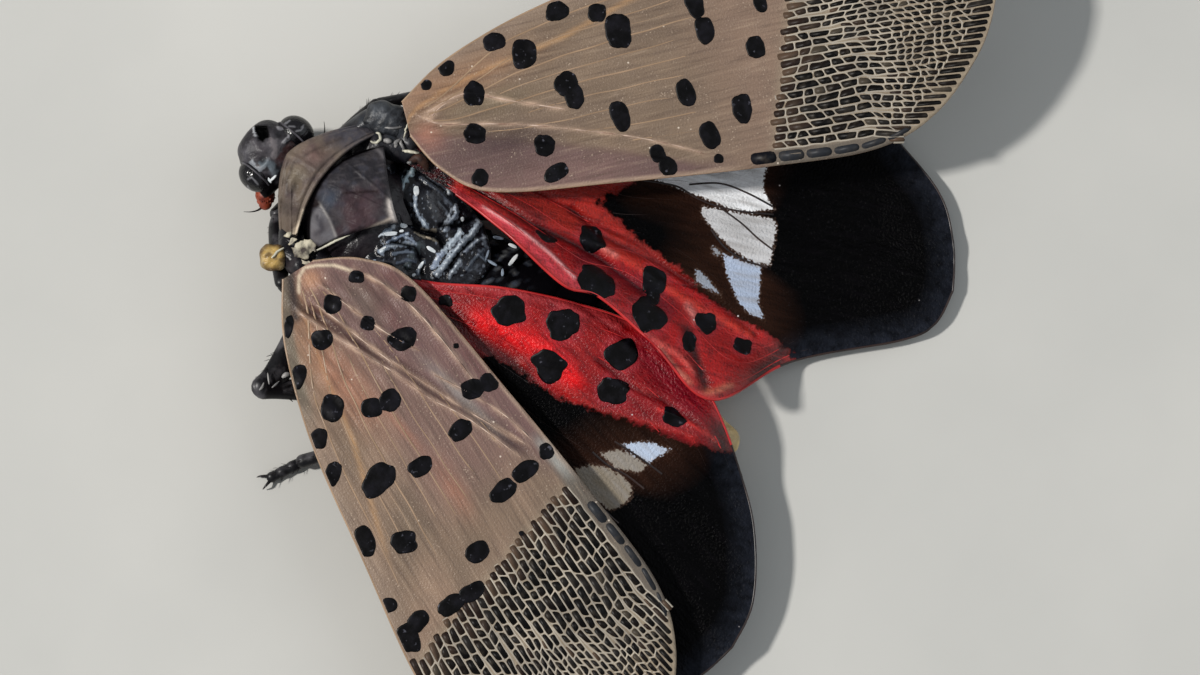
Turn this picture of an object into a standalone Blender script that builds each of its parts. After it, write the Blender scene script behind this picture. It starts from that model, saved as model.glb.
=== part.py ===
"""Spotted lanternfly (Lycorma delicatula), adult female with spread wings, life size.

The head looks along -Y, the tail along +Y and the back along +Z, so the insect's left is +X.
The belly and the six feet stand on the plane z = 0, with the origin under the waist.
Sizes are in millimetres and the finished meshes in metres.
"""
import math

import bmesh
import bpy
from mathutils import Matrix, Vector

MM = 0.001
SIDES = {"right": -1.0, "left": 1.0}

# Thickness of the body plates and the wings
PLATE = 0.5
WING = 0.5

# Lofted bodies, front to rear: (y, centre x, low z, high z, half width)
HEAD_FRONT_Y = -8.2
HEAD_HALF_WIDTH = 1.05
HEAD_STATIONS = [
    (HEAD_FRONT_Y, -0.1, 1.9, 2.3, 0.0),
    (HEAD_FRONT_Y + 0.1, -0.1, 1.4, 2.7, 0.6),
    (-7.75, -0.1, 1.1, 2.95, 0.93),
    (-7.2, -0.1, 1.0, 3.05, HEAD_HALF_WIDTH),
    (-6.75, -0.1, 1.1, 2.95, HEAD_HALF_WIDTH),
    (-6.4, -0.1, 1.35, 2.7, 0.9),
    (-6.32, -0.1, 2.0, 2.2, 0.0),
]
THORAX_HALF_WIDTH = 2.05
THORAX_STATIONS = [
    (-6.12, 0.0, 1.8, 2.2, 0.0),
    (-6.05, 0.0, 1.4, 2.7, 1.0),
    (-5.3, -0.1, 1.2, 3.0, 1.35),
    (-4.0, 0.0, 1.12, 3.38, THORAX_HALF_WIDTH),
    (-3.0, 0.0, 1.12, 3.38, THORAX_HALF_WIDTH * 0.95),
    (-1.8, 0.0, 1.1, 3.1, THORAX_HALF_WIDTH * 0.85),
    (-0.85, 0.0, 1.0, 2.65, THORAX_HALF_WIDTH * 0.78),
    (-0.75, 0.0, 1.2, 1.8, 0.0),
]
ABDOMEN_HALF_WIDTH = 2.35
ABDOMEN_TIP_Y = 11.9
ABDOMEN_STATIONS = [
    (-0.6, 0.0, 1.3, 1.7, 0.0),
    (-0.55, 0.0, 0.15, 2.35, 1.6),
    (0.1, 0.0, -0.1, 2.55, 1.95),
    (2.2, 0.0, -0.12, 2.7, ABDOMEN_HALF_WIDTH),
    (4.2, -0.05, -0.15, 2.68, ABDOMEN_HALF_WIDTH),
    (6.2, -0.1, -0.15, 2.5, 2.2),
    (8.2, -0.2, -0.12, 2.15, 1.8),
    (10.0, -0.28, 0.1, 1.7, 1.25),
    (11.2, -0.35, 0.3, 1.25, 0.7),
    (ABDOMEN_TIP_Y - 0.05, -0.38, 0.5, 1.0, 0.35),
    (ABDOMEN_TIP_Y, -0.38, 0.7, 0.8, 0.0),
]

# The head's pose and its small parts, before it turns about the neck
NECK = (-0.1, -6.4)
HEAD_TURN = -9.0
EYE_SIZE = (0.6, 0.68, 0.62)
EYE_CENTRE = (HEAD_HALF_WIDTH, -6.88, 2.3)
EYE_INSET = HEAD_HALF_WIDTH + 0.09
ANTENNA = [(1.15, -6.6, 1.35), (1.22, -6.52, 1.33), (1.35, -6.38, 1.3), (1.5, -6.25, 1.28)]
ANTENNA_RADII = [0.2, 0.34, 0.36, 0.25]
ROSTRUM = [(-0.15, -7.0, 0.6), (-0.05, -5.6, 0.42), (0.0, -3.2, 0.42)]
ROSTRUM_RADII = [0.34, 0.27, 0.25]

# The collar behind the head
PRONOTUM_CENTRE_X = -0.3
PRONOTUM_FRONT_Y = -6.52
PRONOTUM_REAR_Y = -5.08
PRONOTUM_HALF_WIDTH = 2.5
PRONOTUM_TOP = 4.0
PRONOTUM_SWEEP = 1.5
PRONOTUM_DROOP = 1.3
PRONOTUM_WRAP = 1.4

# The shield between the wing roots
MESONOTUM_FRONT_Y = -4.8
MESONOTUM_CORNER_Y = -3.85
MESONOTUM_APEX = (-0.25, -1.85)
MESONOTUM_HALF_WIDTH = 2.2
MESONOTUM_TOP = 4.28

# The scale over each forewing's hinge: centre, offset from it on the way out and back, radius
TEGULAE = {"right": (-3.2, -4.0, 3.1), "left": (3.15, -4.95, 3.0)}
TEGULA_PROFILE = [(-0.3, -0.2, 0.2), (-0.15, -0.1, 0.38), (0.1, 0.1, 0.38), (0.25, 0.25, 0.22)]

# Forewings: hinge, the axis's angle outward from +Y in degrees, height at the root and rise to the tip
FOREWINGS = {
    "right": {"hinge": (-3.315, -3.43), "angle": 46.2, "root_z": 4.1, "rise": 0.2},
    "left": {"hinge": (2.85, -3.85), "angle": 25.9, "root_z": 4.12, "rise": -1.72},
}
FOREWING_LENGTH = 21.5
FOREWING_CAMBER = 0.012

# Hindwings: they slope from the root to the rim and rise over the abdomen in a crest
HINDWINGS = {
    "right": {"hinge": (-2.97, -2.97), "angle": 20.0, "rim_z": 0.55, "reach": 17.0, "power": 1.3,
              "crest_x": -1.0, "crest": 2.46, "crest_width": 2.2},
    "left": {"hinge": (2.41, -2.97), "angle": 12.0, "rim_z": 1.4, "reach": 19.0, "power": 1.0,
             "crest_x": -0.2, "crest": 0.66, "crest_width": 2.2},
}
HINDWING_ROOT_Z = 3.15
CREST_START_Y = (-2.5, 2.5)
CREST_END_Y = (10.6, 13.4)

# Wing outlines as (distance along the axis, distance towards the tail side), root to tip
FOREWING_LEADING = [(0.0, -0.85), (2.0, -2.0), (5.4, -3.0), (9.8, -3.62), (14.0, -4.17),
                    (17.3, -4.1), (19.9, -3.0), (21.1, -1.6), (FOREWING_LENGTH, -0.4)]
FOREWING_TRAILING = [(0.0, 0.4), (0.8, 1.85), (2.4, 3.0), (6.8, 3.72), (12.0, 4.42),
                     (15.8, 4.72), (18.2, 4.0), (20.2, 2.3), (21.2, 0.7), (FOREWING_LENGTH, -0.4)]
HINDWING_LEADING = [(0.0, -0.4), (3.5, -2.0), (7.5, -3.9), (12.0, -5.3), (15.2, -5.3), (17.4, -4.0)]
HINDWING_LEADING_END = {
    "right": [(19.0, -2.55), (19.75, -0.85), (20.0, 0.6)],
    "left": [(18.6, -2.5), (19.1, -0.9), (19.2, 0.5)],
}
HINDWING_INNER = {
    "right": [(0.0, 0.7), (1.84, 1.4), (3.67, 2.4), (6.1, 3.85), (7.5, 3.95), (9.6, 5.1),
              (12.1, 6.6), (14.8, 4.35), (18.5, 2.75), (19.6, 1.9), (20.0, 0.6)],
    "left": [(0.0, 0.7), (2.57, 2.08), (4.62, 3.74), (6.4, 4.96), (8.5, 6.1), (10.6, 6.6),
             (12.4, 6.3), (14.8, 5.3), (16.8, 4.1), (18.6, 2.2), (19.2, 0.5)],
}

# Leg joints: coxa root, hip, knee, ankle and toe
LEGS = {
    "left": {
        "front": [(0.75, -5.6, 0.72), (1.35, -5.85, 0.85), (3.55, -4.3, 2.6), (4.4, -0.8, 0.48),
                  (4.3, 0.75, 0.22)],
        "middle": [(0.9, -3.5, 0.72), (2.0, -3.25, 0.8), (6.95, -2.95, 1.75), (5.6, -0.6, 0.48),
                   (5.3, 1.0, 0.22)],
        "hind": [(0.9, -1.9, 0.72), (1.8, -1.4, 0.8), (3.7, 3.6, 1.6), (8.3, -0.4, 0.48),
                 (9.45, -1.1, 0.22)],
    },
    "right": {
        "front": [(-0.75, -5.6, 0.72), (-1.25, -5.5, 0.75), (-3.6, -4.85, 2.35), (-6.9, -2.0, 0.6),
                  (-7.8, -0.6, 0.22)],
        "middle": [(-0.9, -3.7, 0.72), (-1.9, -3.3, 0.8), (-5.7, -0.1, 1.6), (-8.6, 1.6, 0.48),
                   (-10.1, 2.2, 0.22)],
        "hind": [(-0.9, -1.9, 0.72), (-1.8, -1.3, 0.8), (-4.2, 3.2, 1.3), (-9.2, 5.2, 0.47),
                 (-10.8, 5.8, 0.22)],
    },
}
COXA_RADII = [0.27, 0.32, 0.26]
FEMUR_RADII = [0.26, 0.36, 0.33, 0.27]
TIBIA_RADII = [0.25, 0.28, 0.26, 0.28]
TARSUS_RADII = [0.25, 0.27, 0.27, 0.3]
JOINT_CLEARANCE = 0.52

BLACK = (0.012, 0.012, 0.016, 1)
DUSKY = (0.05, 0.045, 0.05, 1)
TAN = (0.2, 0.16, 0.13, 1)
RED = (0.5, 0.012, 0.02, 1)
AMBER = (0.45, 0.26, 0.06, 1)
ORANGE = (0.5, 0.08, 0.02, 1)


def clear_scene():
    for old in list(bpy.data.objects):
        bpy.data.objects.remove(old)


def smoothstep(low, high, value):
    """0 below low, 1 above high and an S-curve between them."""
    share = min(max((value - low) / (high - low), 0.0), 1.0)
    return share * share * (3.0 - 2.0 * share)


def spline_point(points, share):
    """A point on the Catmull-Rom curve through points, share going from 0 to 1 along it."""
    place = share * (len(points) - 1)
    index = min(int(place), len(points) - 2)
    step = place - index
    before = Vector(points[max(index - 1, 0)])
    start = Vector(points[index])
    end = Vector(points[index + 1])
    after = Vector(points[min(index + 2, len(points) - 1)])
    slope = (end - before) * step
    bend = (2 * before - 5 * start + 4 * end - after) * step ** 2
    twist = (3 * start - before - 3 * end + after) * step ** 3
    return start + (slope + bend + twist) / 2


def make_material(name, colour, roughness):
    material = bpy.data.materials.new(name)
    material.use_nodes = True
    shader = material.node_tree.nodes["Principled BSDF"]
    shader.inputs["Base Color"].default_value = colour
    shader.inputs["Roughness"].default_value = roughness
    shader.inputs["Metallic"].default_value = 0.0
    return material


def add_node(name, mesh, colour, roughness=0.5):
    node = bpy.data.objects.new(name, mesh)
    node.data.materials.append(make_material(name + "_colour", colour, roughness))
    insect.objects.link(node)
    return node


def mesh_from(form, name):
    """Turns the millimetre form, with its faces outwards, into a mesh in metres and frees it."""
    bmesh.ops.recalc_face_normals(form, faces=form.faces)
    if form.calc_volume(signed=True) < 0:
        bmesh.ops.reverse_faces(form, faces=form.faces)
    bmesh.ops.scale(form, vec=(MM, MM, MM), verts=form.verts)
    mesh = bpy.data.meshes.new(name)
    form.to_mesh(mesh)
    form.free()
    return mesh


def cut_flat(form, point, normal):
    """Cuts away what lies behind the plane and closes the form with a flat face."""
    geometry = form.verts[:] + form.edges[:] + form.faces[:]
    cut = bmesh.ops.bisect_plane(form, geom=geometry, plane_co=point, plane_no=normal, clear_inner=True)
    rim = [item for item in cut["geom_cut"] if isinstance(item, bmesh.types.BMEdge)]
    bmesh.ops.contextual_create(form, geom=rim)


def loft(name, stations, sides, squareness, colour, roughness=0.5, on_floor=False):
    """A closed form along Y whose rings are squarish ovals; on_floor cuts it level at z = 0."""
    form = bmesh.new()
    bmesh.ops.create_uvsphere(form, u_segments=sides, v_segments=len(stations) - 1, radius=1.0)
    for vertex in form.verts:
        height = max(-1.0, min(1.0, vertex.co.z))
        ring = round(math.acos(height) / math.pi * (len(stations) - 1))
        y, centre_x, low, high, half_width = stations[ring]
        around = math.hypot(vertex.co.x, vertex.co.y) or 1.0
        across = vertex.co.x / around
        upward = vertex.co.y / around
        wide = math.copysign(abs(across) ** (2 / squareness), across)
        tall = math.copysign(abs(upward) ** (2 / squareness), upward)
        vertex.co = (centre_x + half_width * wide, y, (low + high) / 2 + (high - low) / 2 * tall)
    if on_floor:
        cut_flat(form, (0, 0, 0), (0, 0, 1))
    return add_node(name, mesh_from(form, name), colour, roughness)


def plate(name, columns, rows, place, thickness, colour, roughness=0.5):
    """A bent sheet of even thickness: place turns (across, along), each 0 to 1, into a point in mm."""
    form = bmesh.new()
    bmesh.ops.create_grid(form, x_segments=columns, y_segments=rows, size=0.5)
    for vertex in form.verts:
        vertex.co = place(vertex.co.x + 0.5, vertex.co.y + 0.5)
    bmesh.ops.remove_doubles(form, verts=form.verts, dist=0.02)
    node = add_node(name, mesh_from(form, name), colour, roughness)
    thicken = node.modifiers.new("Thickness", "SOLIDIFY")
    thicken.thickness = thickness * MM
    thicken.offset = 0.0
    thicken.use_even_offset = True
    return node


def limb(name, points, radii, colour, roughness=0.4, on_floor=False):
    """A tapered tube through points in mm, with the radius given at each point."""
    curve = bpy.data.curves.new(name, "CURVE")
    curve.dimensions = "3D"
    curve.bevel_depth = 1.0
    curve.bevel_resolution = 2
    curve.use_fill_caps = True
    path = curve.splines.new("POLY")
    path.points.add(len(points) - 1)
    for knot, point, radius in zip(path.points, points, radii):
        knot.co = (*point, 1.0)
        knot.radius = radius
    tube = bpy.data.objects.new(name + "_tube", curve)
    tube_mesh = bpy.data.meshes.new_from_object(tube)
    bpy.data.objects.remove(tube)
    form = bmesh.new()
    form.from_mesh(tube_mesh)
    bpy.data.meshes.remove(tube_mesh)
    bmesh.ops.remove_doubles(form, verts=form.verts, dist=0.01)
    if on_floor:
        cut_flat(form, (0, 0, 0), (0, 0, 1))
    return add_node(name, mesh_from(form, name), colour, roughness)


def hang_on_neck(nodes):
    """Parents the head's pieces to an empty at the neck, which turns them to the insect's right."""
    neck = bpy.data.objects.new("neck", None)
    insect.objects.link(neck)
    pivot = Vector((*NECK, 0.0)) * MM
    neck.location = pivot
    neck.rotation_euler.z = math.radians(HEAD_TURN)
    for node in nodes:
        node.parent = neck
        node.matrix_parent_inverse = Matrix.Translation(-pivot)


def build_eye(side):
    """A ball cut flat a little outside the head's cheek."""
    across = SIDES[side]
    form = bmesh.new()
    bmesh.ops.create_uvsphere(form, u_segments=14, v_segments=8, radius=1.0)
    bmesh.ops.scale(form, vec=EYE_SIZE, verts=form.verts)
    centre = (NECK[0] + across * EYE_CENTRE[0], EYE_CENTRE[1], EYE_CENTRE[2])
    bmesh.ops.translate(form, vec=centre, verts=form.verts)
    cut_flat(form, (NECK[0] + across * EYE_INSET, 0, 0), (across, 0, 0))
    return add_node("eye_" + side, mesh_from(form, "eye_" + side), BLACK, 0.3)


def build_head():
    nodes = [loft("head", HEAD_STATIONS, 18, 2.4, DUSKY)]
    for side, across in SIDES.items():
        nodes.append(build_eye(side))
        bulb = [(NECK[0] + across * x, y, z) for x, y, z in ANTENNA]
        nodes.append(limb("antenna_" + side, bulb, ANTENNA_RADII, ORANGE))
    hang_on_neck(nodes)
    limb("rostrum", ROSTRUM, ROSTRUM_RADII, DUSKY)


def pronotum_place(across, along):
    """The collar: its front edge bows forward between the eyes and its sides bend down."""
    side = math.sin((2 * across - 1) * PRONOTUM_WRAP) / math.sin(PRONOTUM_WRAP)
    x = PRONOTUM_CENTRE_X + PRONOTUM_HALF_WIDTH * side
    front = PRONOTUM_FRONT_Y + PRONOTUM_SWEEP * abs(side) ** 1.5 - 0.08 * x
    rear = PRONOTUM_REAR_Y + 0.12 * x * x - 0.03 * x
    y = front + (rear - front) * along
    z = PRONOTUM_TOP - 0.3 * (1 - along) ** 2 - PRONOTUM_DROOP * abs(side) ** 2.6
    return x, y, z - PLATE / 2


def mesonotum_place(across, along):
    """The shield: a bowed front edge behind the collar and two rear edges that meet at the apex."""
    side = 2 * across - 1
    x = MESONOTUM_HALF_WIDTH * side
    front = MESONOTUM_FRONT_Y + 0.18 * x * x
    rear = MESONOTUM_APEX[1] + (MESONOTUM_CORNER_Y - MESONOTUM_APEX[1]) * abs(side) ** 0.8
    y = front + (rear - front) * along
    z = MESONOTUM_TOP - 0.05 * (y - MESONOTUM_CORNER_Y) ** 2 - 0.16 * x * x
    return x + MESONOTUM_APEX[0] * along, y, z - PLATE / 2


def build_tegula(side):
    x, y, z = TEGULAE[side]
    points = [(x + SIDES[side] * out, y + back, z) for out, back, _ in TEGULA_PROFILE]
    radii = [radius for _, _, radius in TEGULA_PROFILE]
    limb("tegula_" + side, points, radii, AMBER)


def wing_plan(wing, across, reach, width):
    """The place in plan that lies reach along the wing's axis and width towards its tail side."""
    turn = math.radians(wing["angle"])
    out = (across * math.sin(turn), math.cos(turn))
    inward = (-across * math.cos(turn), math.sin(turn))
    x = wing["hinge"][0] + out[0] * reach + inward[0] * width
    y = wing["hinge"][1] + out[1] * reach + inward[1] * width
    return x, y


def between_edges(leading, trailing, across, along):
    return spline_point(leading, along).lerp(spline_point(trailing, along), across)


def build_forewing(side):
    wing = FOREWINGS[side]

    def place(across, along):
        reach, width = between_edges(FOREWING_LEADING, FOREWING_TRAILING, across, along)
        x, y = wing_plan(wing, SIDES[side], reach, width)
        z = wing["root_z"] + wing["rise"] * reach / FOREWING_LENGTH - FOREWING_CAMBER * width ** 2
        return x, y, z

    plate("forewing_" + side, 7, 22, place, WING, TAN, 0.45)


def build_hindwing(side):
    wing = HINDWINGS[side]
    leading = HINDWING_LEADING + HINDWING_LEADING_END[side]

    def place(across, along):
        reach, width = between_edges(leading, HINDWING_INNER[side], across, along)
        x, y = wing_plan(wing, SIDES[side], reach, width)
        outward = max(0.0, 1 - math.hypot(reach, width) / wing["reach"])
        z = wing["rim_z"] + (HINDWING_ROOT_Z - wing["rim_z"]) * outward ** wing["power"]
        lift = smoothstep(*CREST_START_Y, y) * (1 - smoothstep(*CREST_END_Y, y))
        z += wing["crest"] * lift * math.exp(-(((x - wing["crest_x"]) / wing["crest_width"]) ** 2))
        return x, y, z

    plate("hindwing_" + side, 11, 20, place, WING, RED, 0.5)


def toward(start, end, clearance):
    """The point this many mm from start on the way to end."""
    return start + (end - start).normalized() * clearance


def build_leg(side, pair):
    """Four tubes from the body to the toe; each starts clear of the one before it."""
    root, hip, knee, ankle, toe = [Vector(joint) for joint in LEGS[side][pair]]
    name = f"leg_{pair}_{side}_"
    limb(name + "coxa", [root, root.lerp(hip, 0.45), hip], COXA_RADII, BLACK)
    thigh = toward(hip, knee, JOINT_CLEARANCE)
    femur = [thigh, thigh.lerp(knee, 0.3), thigh.lerp(knee, 0.75), knee]
    limb(name + "femur", femur, FEMUR_RADII, BLACK)
    shin = toward(knee, ankle, JOINT_CLEARANCE)
    tibia = [shin, shin.lerp(ankle, 0.12), shin.lerp(ankle, 0.85), ankle]
    limb(name + "tibia", tibia, TIBIA_RADII, BLACK)
    heel = toward(ankle, toe, JOINT_CLEARANCE)
    level_ankle = Vector((ankle.x, ankle.y, toe.z))
    tarsus = [heel, level_ankle.lerp(toe, 0.45), level_ankle.lerp(toe, 0.8), toe]
    limb(name + "tarsus", tarsus, TARSUS_RADII, BLACK, on_floor=True)


clear_scene()
insect = bpy.data.collections.new("spotted_lanternfly")
bpy.context.scene.collection.children.link(insect)
build_head()
loft("thorax", THORAX_STATIONS, 20, 2.6, DUSKY)
plate("pronotum", 12, 4, pronotum_place, PLATE, TAN, 0.6)
plate("mesonotum", 8, 7, mesonotum_place, PLATE, DUSKY, 0.5)
loft("abdomen", ABDOMEN_STATIONS, 20, 2.2, BLACK, 0.35, on_floor=True)
for body_side in SIDES:
    build_tegula(body_side)
    build_forewing(body_side)
    build_hindwing(body_side)
    for leg_pair in ("front", "middle", "hind"):
        build_leg(body_side, leg_pair)
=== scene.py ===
import math

import bpy
import bmesh
import numpy as np
from mathutils import Matrix, Vector


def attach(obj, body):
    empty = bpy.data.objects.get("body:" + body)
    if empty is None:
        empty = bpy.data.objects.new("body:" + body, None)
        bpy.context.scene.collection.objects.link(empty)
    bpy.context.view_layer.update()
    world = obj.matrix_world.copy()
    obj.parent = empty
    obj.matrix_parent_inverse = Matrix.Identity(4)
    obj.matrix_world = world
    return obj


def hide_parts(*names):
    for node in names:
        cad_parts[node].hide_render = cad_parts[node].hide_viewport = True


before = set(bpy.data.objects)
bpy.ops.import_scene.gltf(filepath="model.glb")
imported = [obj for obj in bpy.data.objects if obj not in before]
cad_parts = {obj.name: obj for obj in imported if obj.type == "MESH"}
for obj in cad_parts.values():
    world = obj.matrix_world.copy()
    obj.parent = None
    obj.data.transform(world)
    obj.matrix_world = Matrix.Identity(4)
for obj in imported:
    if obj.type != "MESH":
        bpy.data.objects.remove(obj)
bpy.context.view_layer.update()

# A spotted lanternfly with spread wings, life size, made as a museum model is: one wing, plate and leg at a
# time. Its head points to -Y, its tail to +Y, its back is up and its left side is +X. Sizes are in mm.
MM = 0.001

# Camera: it looks down at the back, leaning to the insect's left, and is turned so that the tail points to
# the lower right of the picture.
CAMERA_LEAN = math.radians(8)
CAMERA_TURN = math.radians(32)
CAMERA_DISTANCE = 170.0
CAMERA_LENS = 142.8
CAMERA_TARGET = Vector((-1.133, 6.194, 0.0))
tilt = Matrix.Rotation(CAMERA_LEAN, 3, "Y")
to_right = tilt @ Vector((-math.sin(CAMERA_TURN), math.cos(CAMERA_TURN), 0))
to_top = tilt @ Vector((-math.cos(CAMERA_TURN), -math.sin(CAMERA_TURN), 0))
to_eye = tilt @ Vector((0, 0, 1))
camera_data = bpy.data.cameras.new("camera")
camera_data.lens = CAMERA_LENS
camera_data.sensor_width = 36.0
camera_data.clip_start = 0.01
camera = bpy.data.objects.new("camera", camera_data)
camera.matrix_world = Matrix((to_right, to_top, to_eye)).transposed().to_4x4()
camera.location = (CAMERA_TARGET + to_eye * CAMERA_DISTANCE) * MM
bpy.context.scene.collection.objects.link(camera)
bpy.context.scene.camera = camera

# Light: a small hard lamp from the head end and the left side, a broad weak one opposite and a pale sky.
KEY_LIGHT = {"place": (0.21, -0.34, 0.42), "size": 0.04, "power": 3.3, "colour": (1.0, 0.97, 0.93)}
FILL_LIGHT = {"place": (-0.3, 0.28, 0.36), "size": 0.5, "power": 0.6, "colour": (0.9, 0.95, 1.0)}
for lamp_name, lamp in (("key_light", KEY_LIGHT), ("fill_light", FILL_LIGHT)):
    light = bpy.data.lights.new(lamp_name, "AREA")
    light.size = lamp["size"]
    light.energy = lamp["power"]
    light.color = lamp["colour"]
    light_stand = bpy.data.objects.new(lamp_name, light)
    light_stand.location = lamp["place"]
    light_stand.rotation_euler = (-Vector(lamp["place"])).to_track_quat("-Z", "Y").to_euler()
    bpy.context.scene.collection.objects.link(light_stand)
sky = bpy.data.worlds.new("sky")
sky.use_nodes = True
sky.node_tree.nodes["Background"].inputs["Color"].default_value = (0.9, 0.95, 1.0, 1)
sky.node_tree.nodes["Background"].inputs["Strength"].default_value = 0.3
bpy.context.scene.world = sky
bpy.context.scene.view_settings.view_transform = "Standard"


# Floor: a plain pale table top, which isn't part of the insect.
def paint(red, green, blue, alpha=1.0):
    """A colour on the 0 to 255 scale of a screen, as the linear colour that a shader takes."""
    return tuple((part / 255) ** 2.2 for part in (red, green, blue)) + (alpha,)


def node_adder(tree):
    """A function that adds a node to a tree, with its inputs set or linked."""
    def add(kind, inputs=(), **settings):
        node = tree.nodes.new(kind)
        for key, value in settings.items():
            setattr(node, key, value)
        for key, value in dict(inputs).items():
            if isinstance(value, bpy.types.NodeSocket):
                tree.links.new(value, node.inputs[key])
            else:
                node.inputs[key].default_value = value
        return node
    return add


def new_finish(name, roughness, specular=0.5):
    """A material, the function that adds nodes to it, and one that feeds its shader."""
    material = bpy.data.materials.new(name)
    material.use_nodes = True
    tree = material.node_tree
    shader = tree.nodes["Principled BSDF"]
    shader.inputs["Roughness"].default_value = roughness
    shader.inputs["Specular IOR Level"].default_value = specular
    return material, node_adder(tree), lambda value, key: tree.links.new(value, shader.inputs[key])


def mix_colours(add, share, first, second):
    """The socket of first turned into second by share."""
    return add("ShaderNodeMix", {0: share, 6: first, 7: second}, data_type="RGBA").outputs[2]


def remap(add, value, low, high, start=0.0, end=1.0):
    """The socket of value moved from low..high to start..end."""
    sizes = {"Value": value, "From Min": low, "From Max": high, "To Min": start, "To Max": end}
    return add("ShaderNodeMapRange", sizes).outputs[0]


def flecked(add, colour, pattern, low, high, share, other):
    """The colour, turned by up to share into the other one as the pattern goes from low to high."""
    return mix_colours(add, remap(add, pattern, low, high, 0.0, share), colour, other)


def noise(add, where, scale, detail, roughness=0.5):
    sizes = {"Vector": where, "Scale": scale, "Detail": detail, "Roughness": roughness}
    return add("ShaderNodeTexNoise", sizes).outputs[0]


def object_place(add):
    return add("ShaderNodeTexCoord", {}).outputs["Object"]


def read(add, name, part="Color"):
    """The socket of what the mesh stores under a name."""
    return add("ShaderNodeAttribute", {}, attribute_name=name).outputs[part]


def combined(add, first, second, operation="MULTIPLY"):
    """The socket of two numbers multiplied or added."""
    return add("ShaderNodeMath", {0: first, 1: second}, operation=operation).outputs[0]


def feed_bump(add, feed, height, strength, distance):
    sizes = {"Height": height, "Strength": strength, "Distance": distance}
    feed(add("ShaderNodeBump", sizes).outputs[0], "Normal")


def link_mesh(name, mesh, material):
    piece = bpy.data.objects.new(name, mesh)
    mesh.materials.clear()
    mesh.materials.append(material)
    bpy.context.scene.collection.objects.link(piece)
    return piece


table_top, add, feed = new_finish("table_top", 0.75, 0.3)
grain = add("ShaderNodeTexNoise", {"Scale": 60.0, "Detail": 5.0})
feed(flecked(add, paint(186, 186, 182), grain.outputs["Fac"], 0.3, 0.7, 1.0, paint(202, 201, 196)),
     "Base Color")
floor_mesh = bpy.data.meshes.new("floor")
floor_mesh.from_pydata([(-0.6, -0.6, 0), (0.6, -0.6, 0), (0.6, 0.6, 0), (-0.6, 0.6, 0)], [], [(0, 1, 2, 3)])
floor = link_mesh("floor", floor_mesh, table_top)


# Forewings: leathery tan front wings, each one thin sheet of chitin on a fold at its root. Raised black spots
# lie on the inner two thirds, and the outer third is a net of pale veins around small black cells. Tan veins
# run along the sheet, and thin pale tubes along its creases are painted highlights.
FOREWING_LEADING = [(0.0, -0.85), (2.0, -2.0), (5.4, -3.0), (9.8, -3.62), (14.0, -4.17), (17.3, -4.1),
                    (19.9, -3.0), (21.1, -1.6), (21.5, -0.4)]
FOREWING_TRAILING = [(0.0, 0.4), (0.8, 1.85), (2.4, 3.0), (6.8, 3.72), (12.0, 4.42), (15.8, 4.72),
                     (18.2, 4.0), (20.2, 2.3), (21.2, 0.7), (21.5, -0.4)]
FOREWING_LENGTH = 21.5
FOREWING_CAMBER = 0.012
FOREWING_HALF = 0.03
FOREWING_GRID = (78, 170)
SPOT_RISE = 0.024
SPOT_SIDES = 36
VEIN_RADIUS = 0.041
NET_ROWS_INNER = 31
NET_ROWS_OUTER = 45
CELL_INSET = 0.029
CELL_ROUND = 0.07
# Each rib has a share of the wing's breadth, where it starts and ends along the wing, and a radius
FOREWING_RIBS = [(0.1, 0.7, 13.2, 0.045), (0.2, 1.0, 13.4, 0.038), (0.3, 0.8, 12.9, 0.045),
                 (0.38, 3.4, 12.8, 0.036), (0.46, 0.9, 12.6, 0.042), (0.54, 4.2, 12.4, 0.036),
                 (0.63, 2.4, 12.2, 0.036), (0.72, 6.0, 11.8, 0.036), (0.8, 7.5, 11.4, 0.034),
                 (0.15, 6.2, 13.2, 0.034), (0.25, 7.2, 13.1, 0.034), (0.34, 8.0, 12.8, 0.034)]
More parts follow.
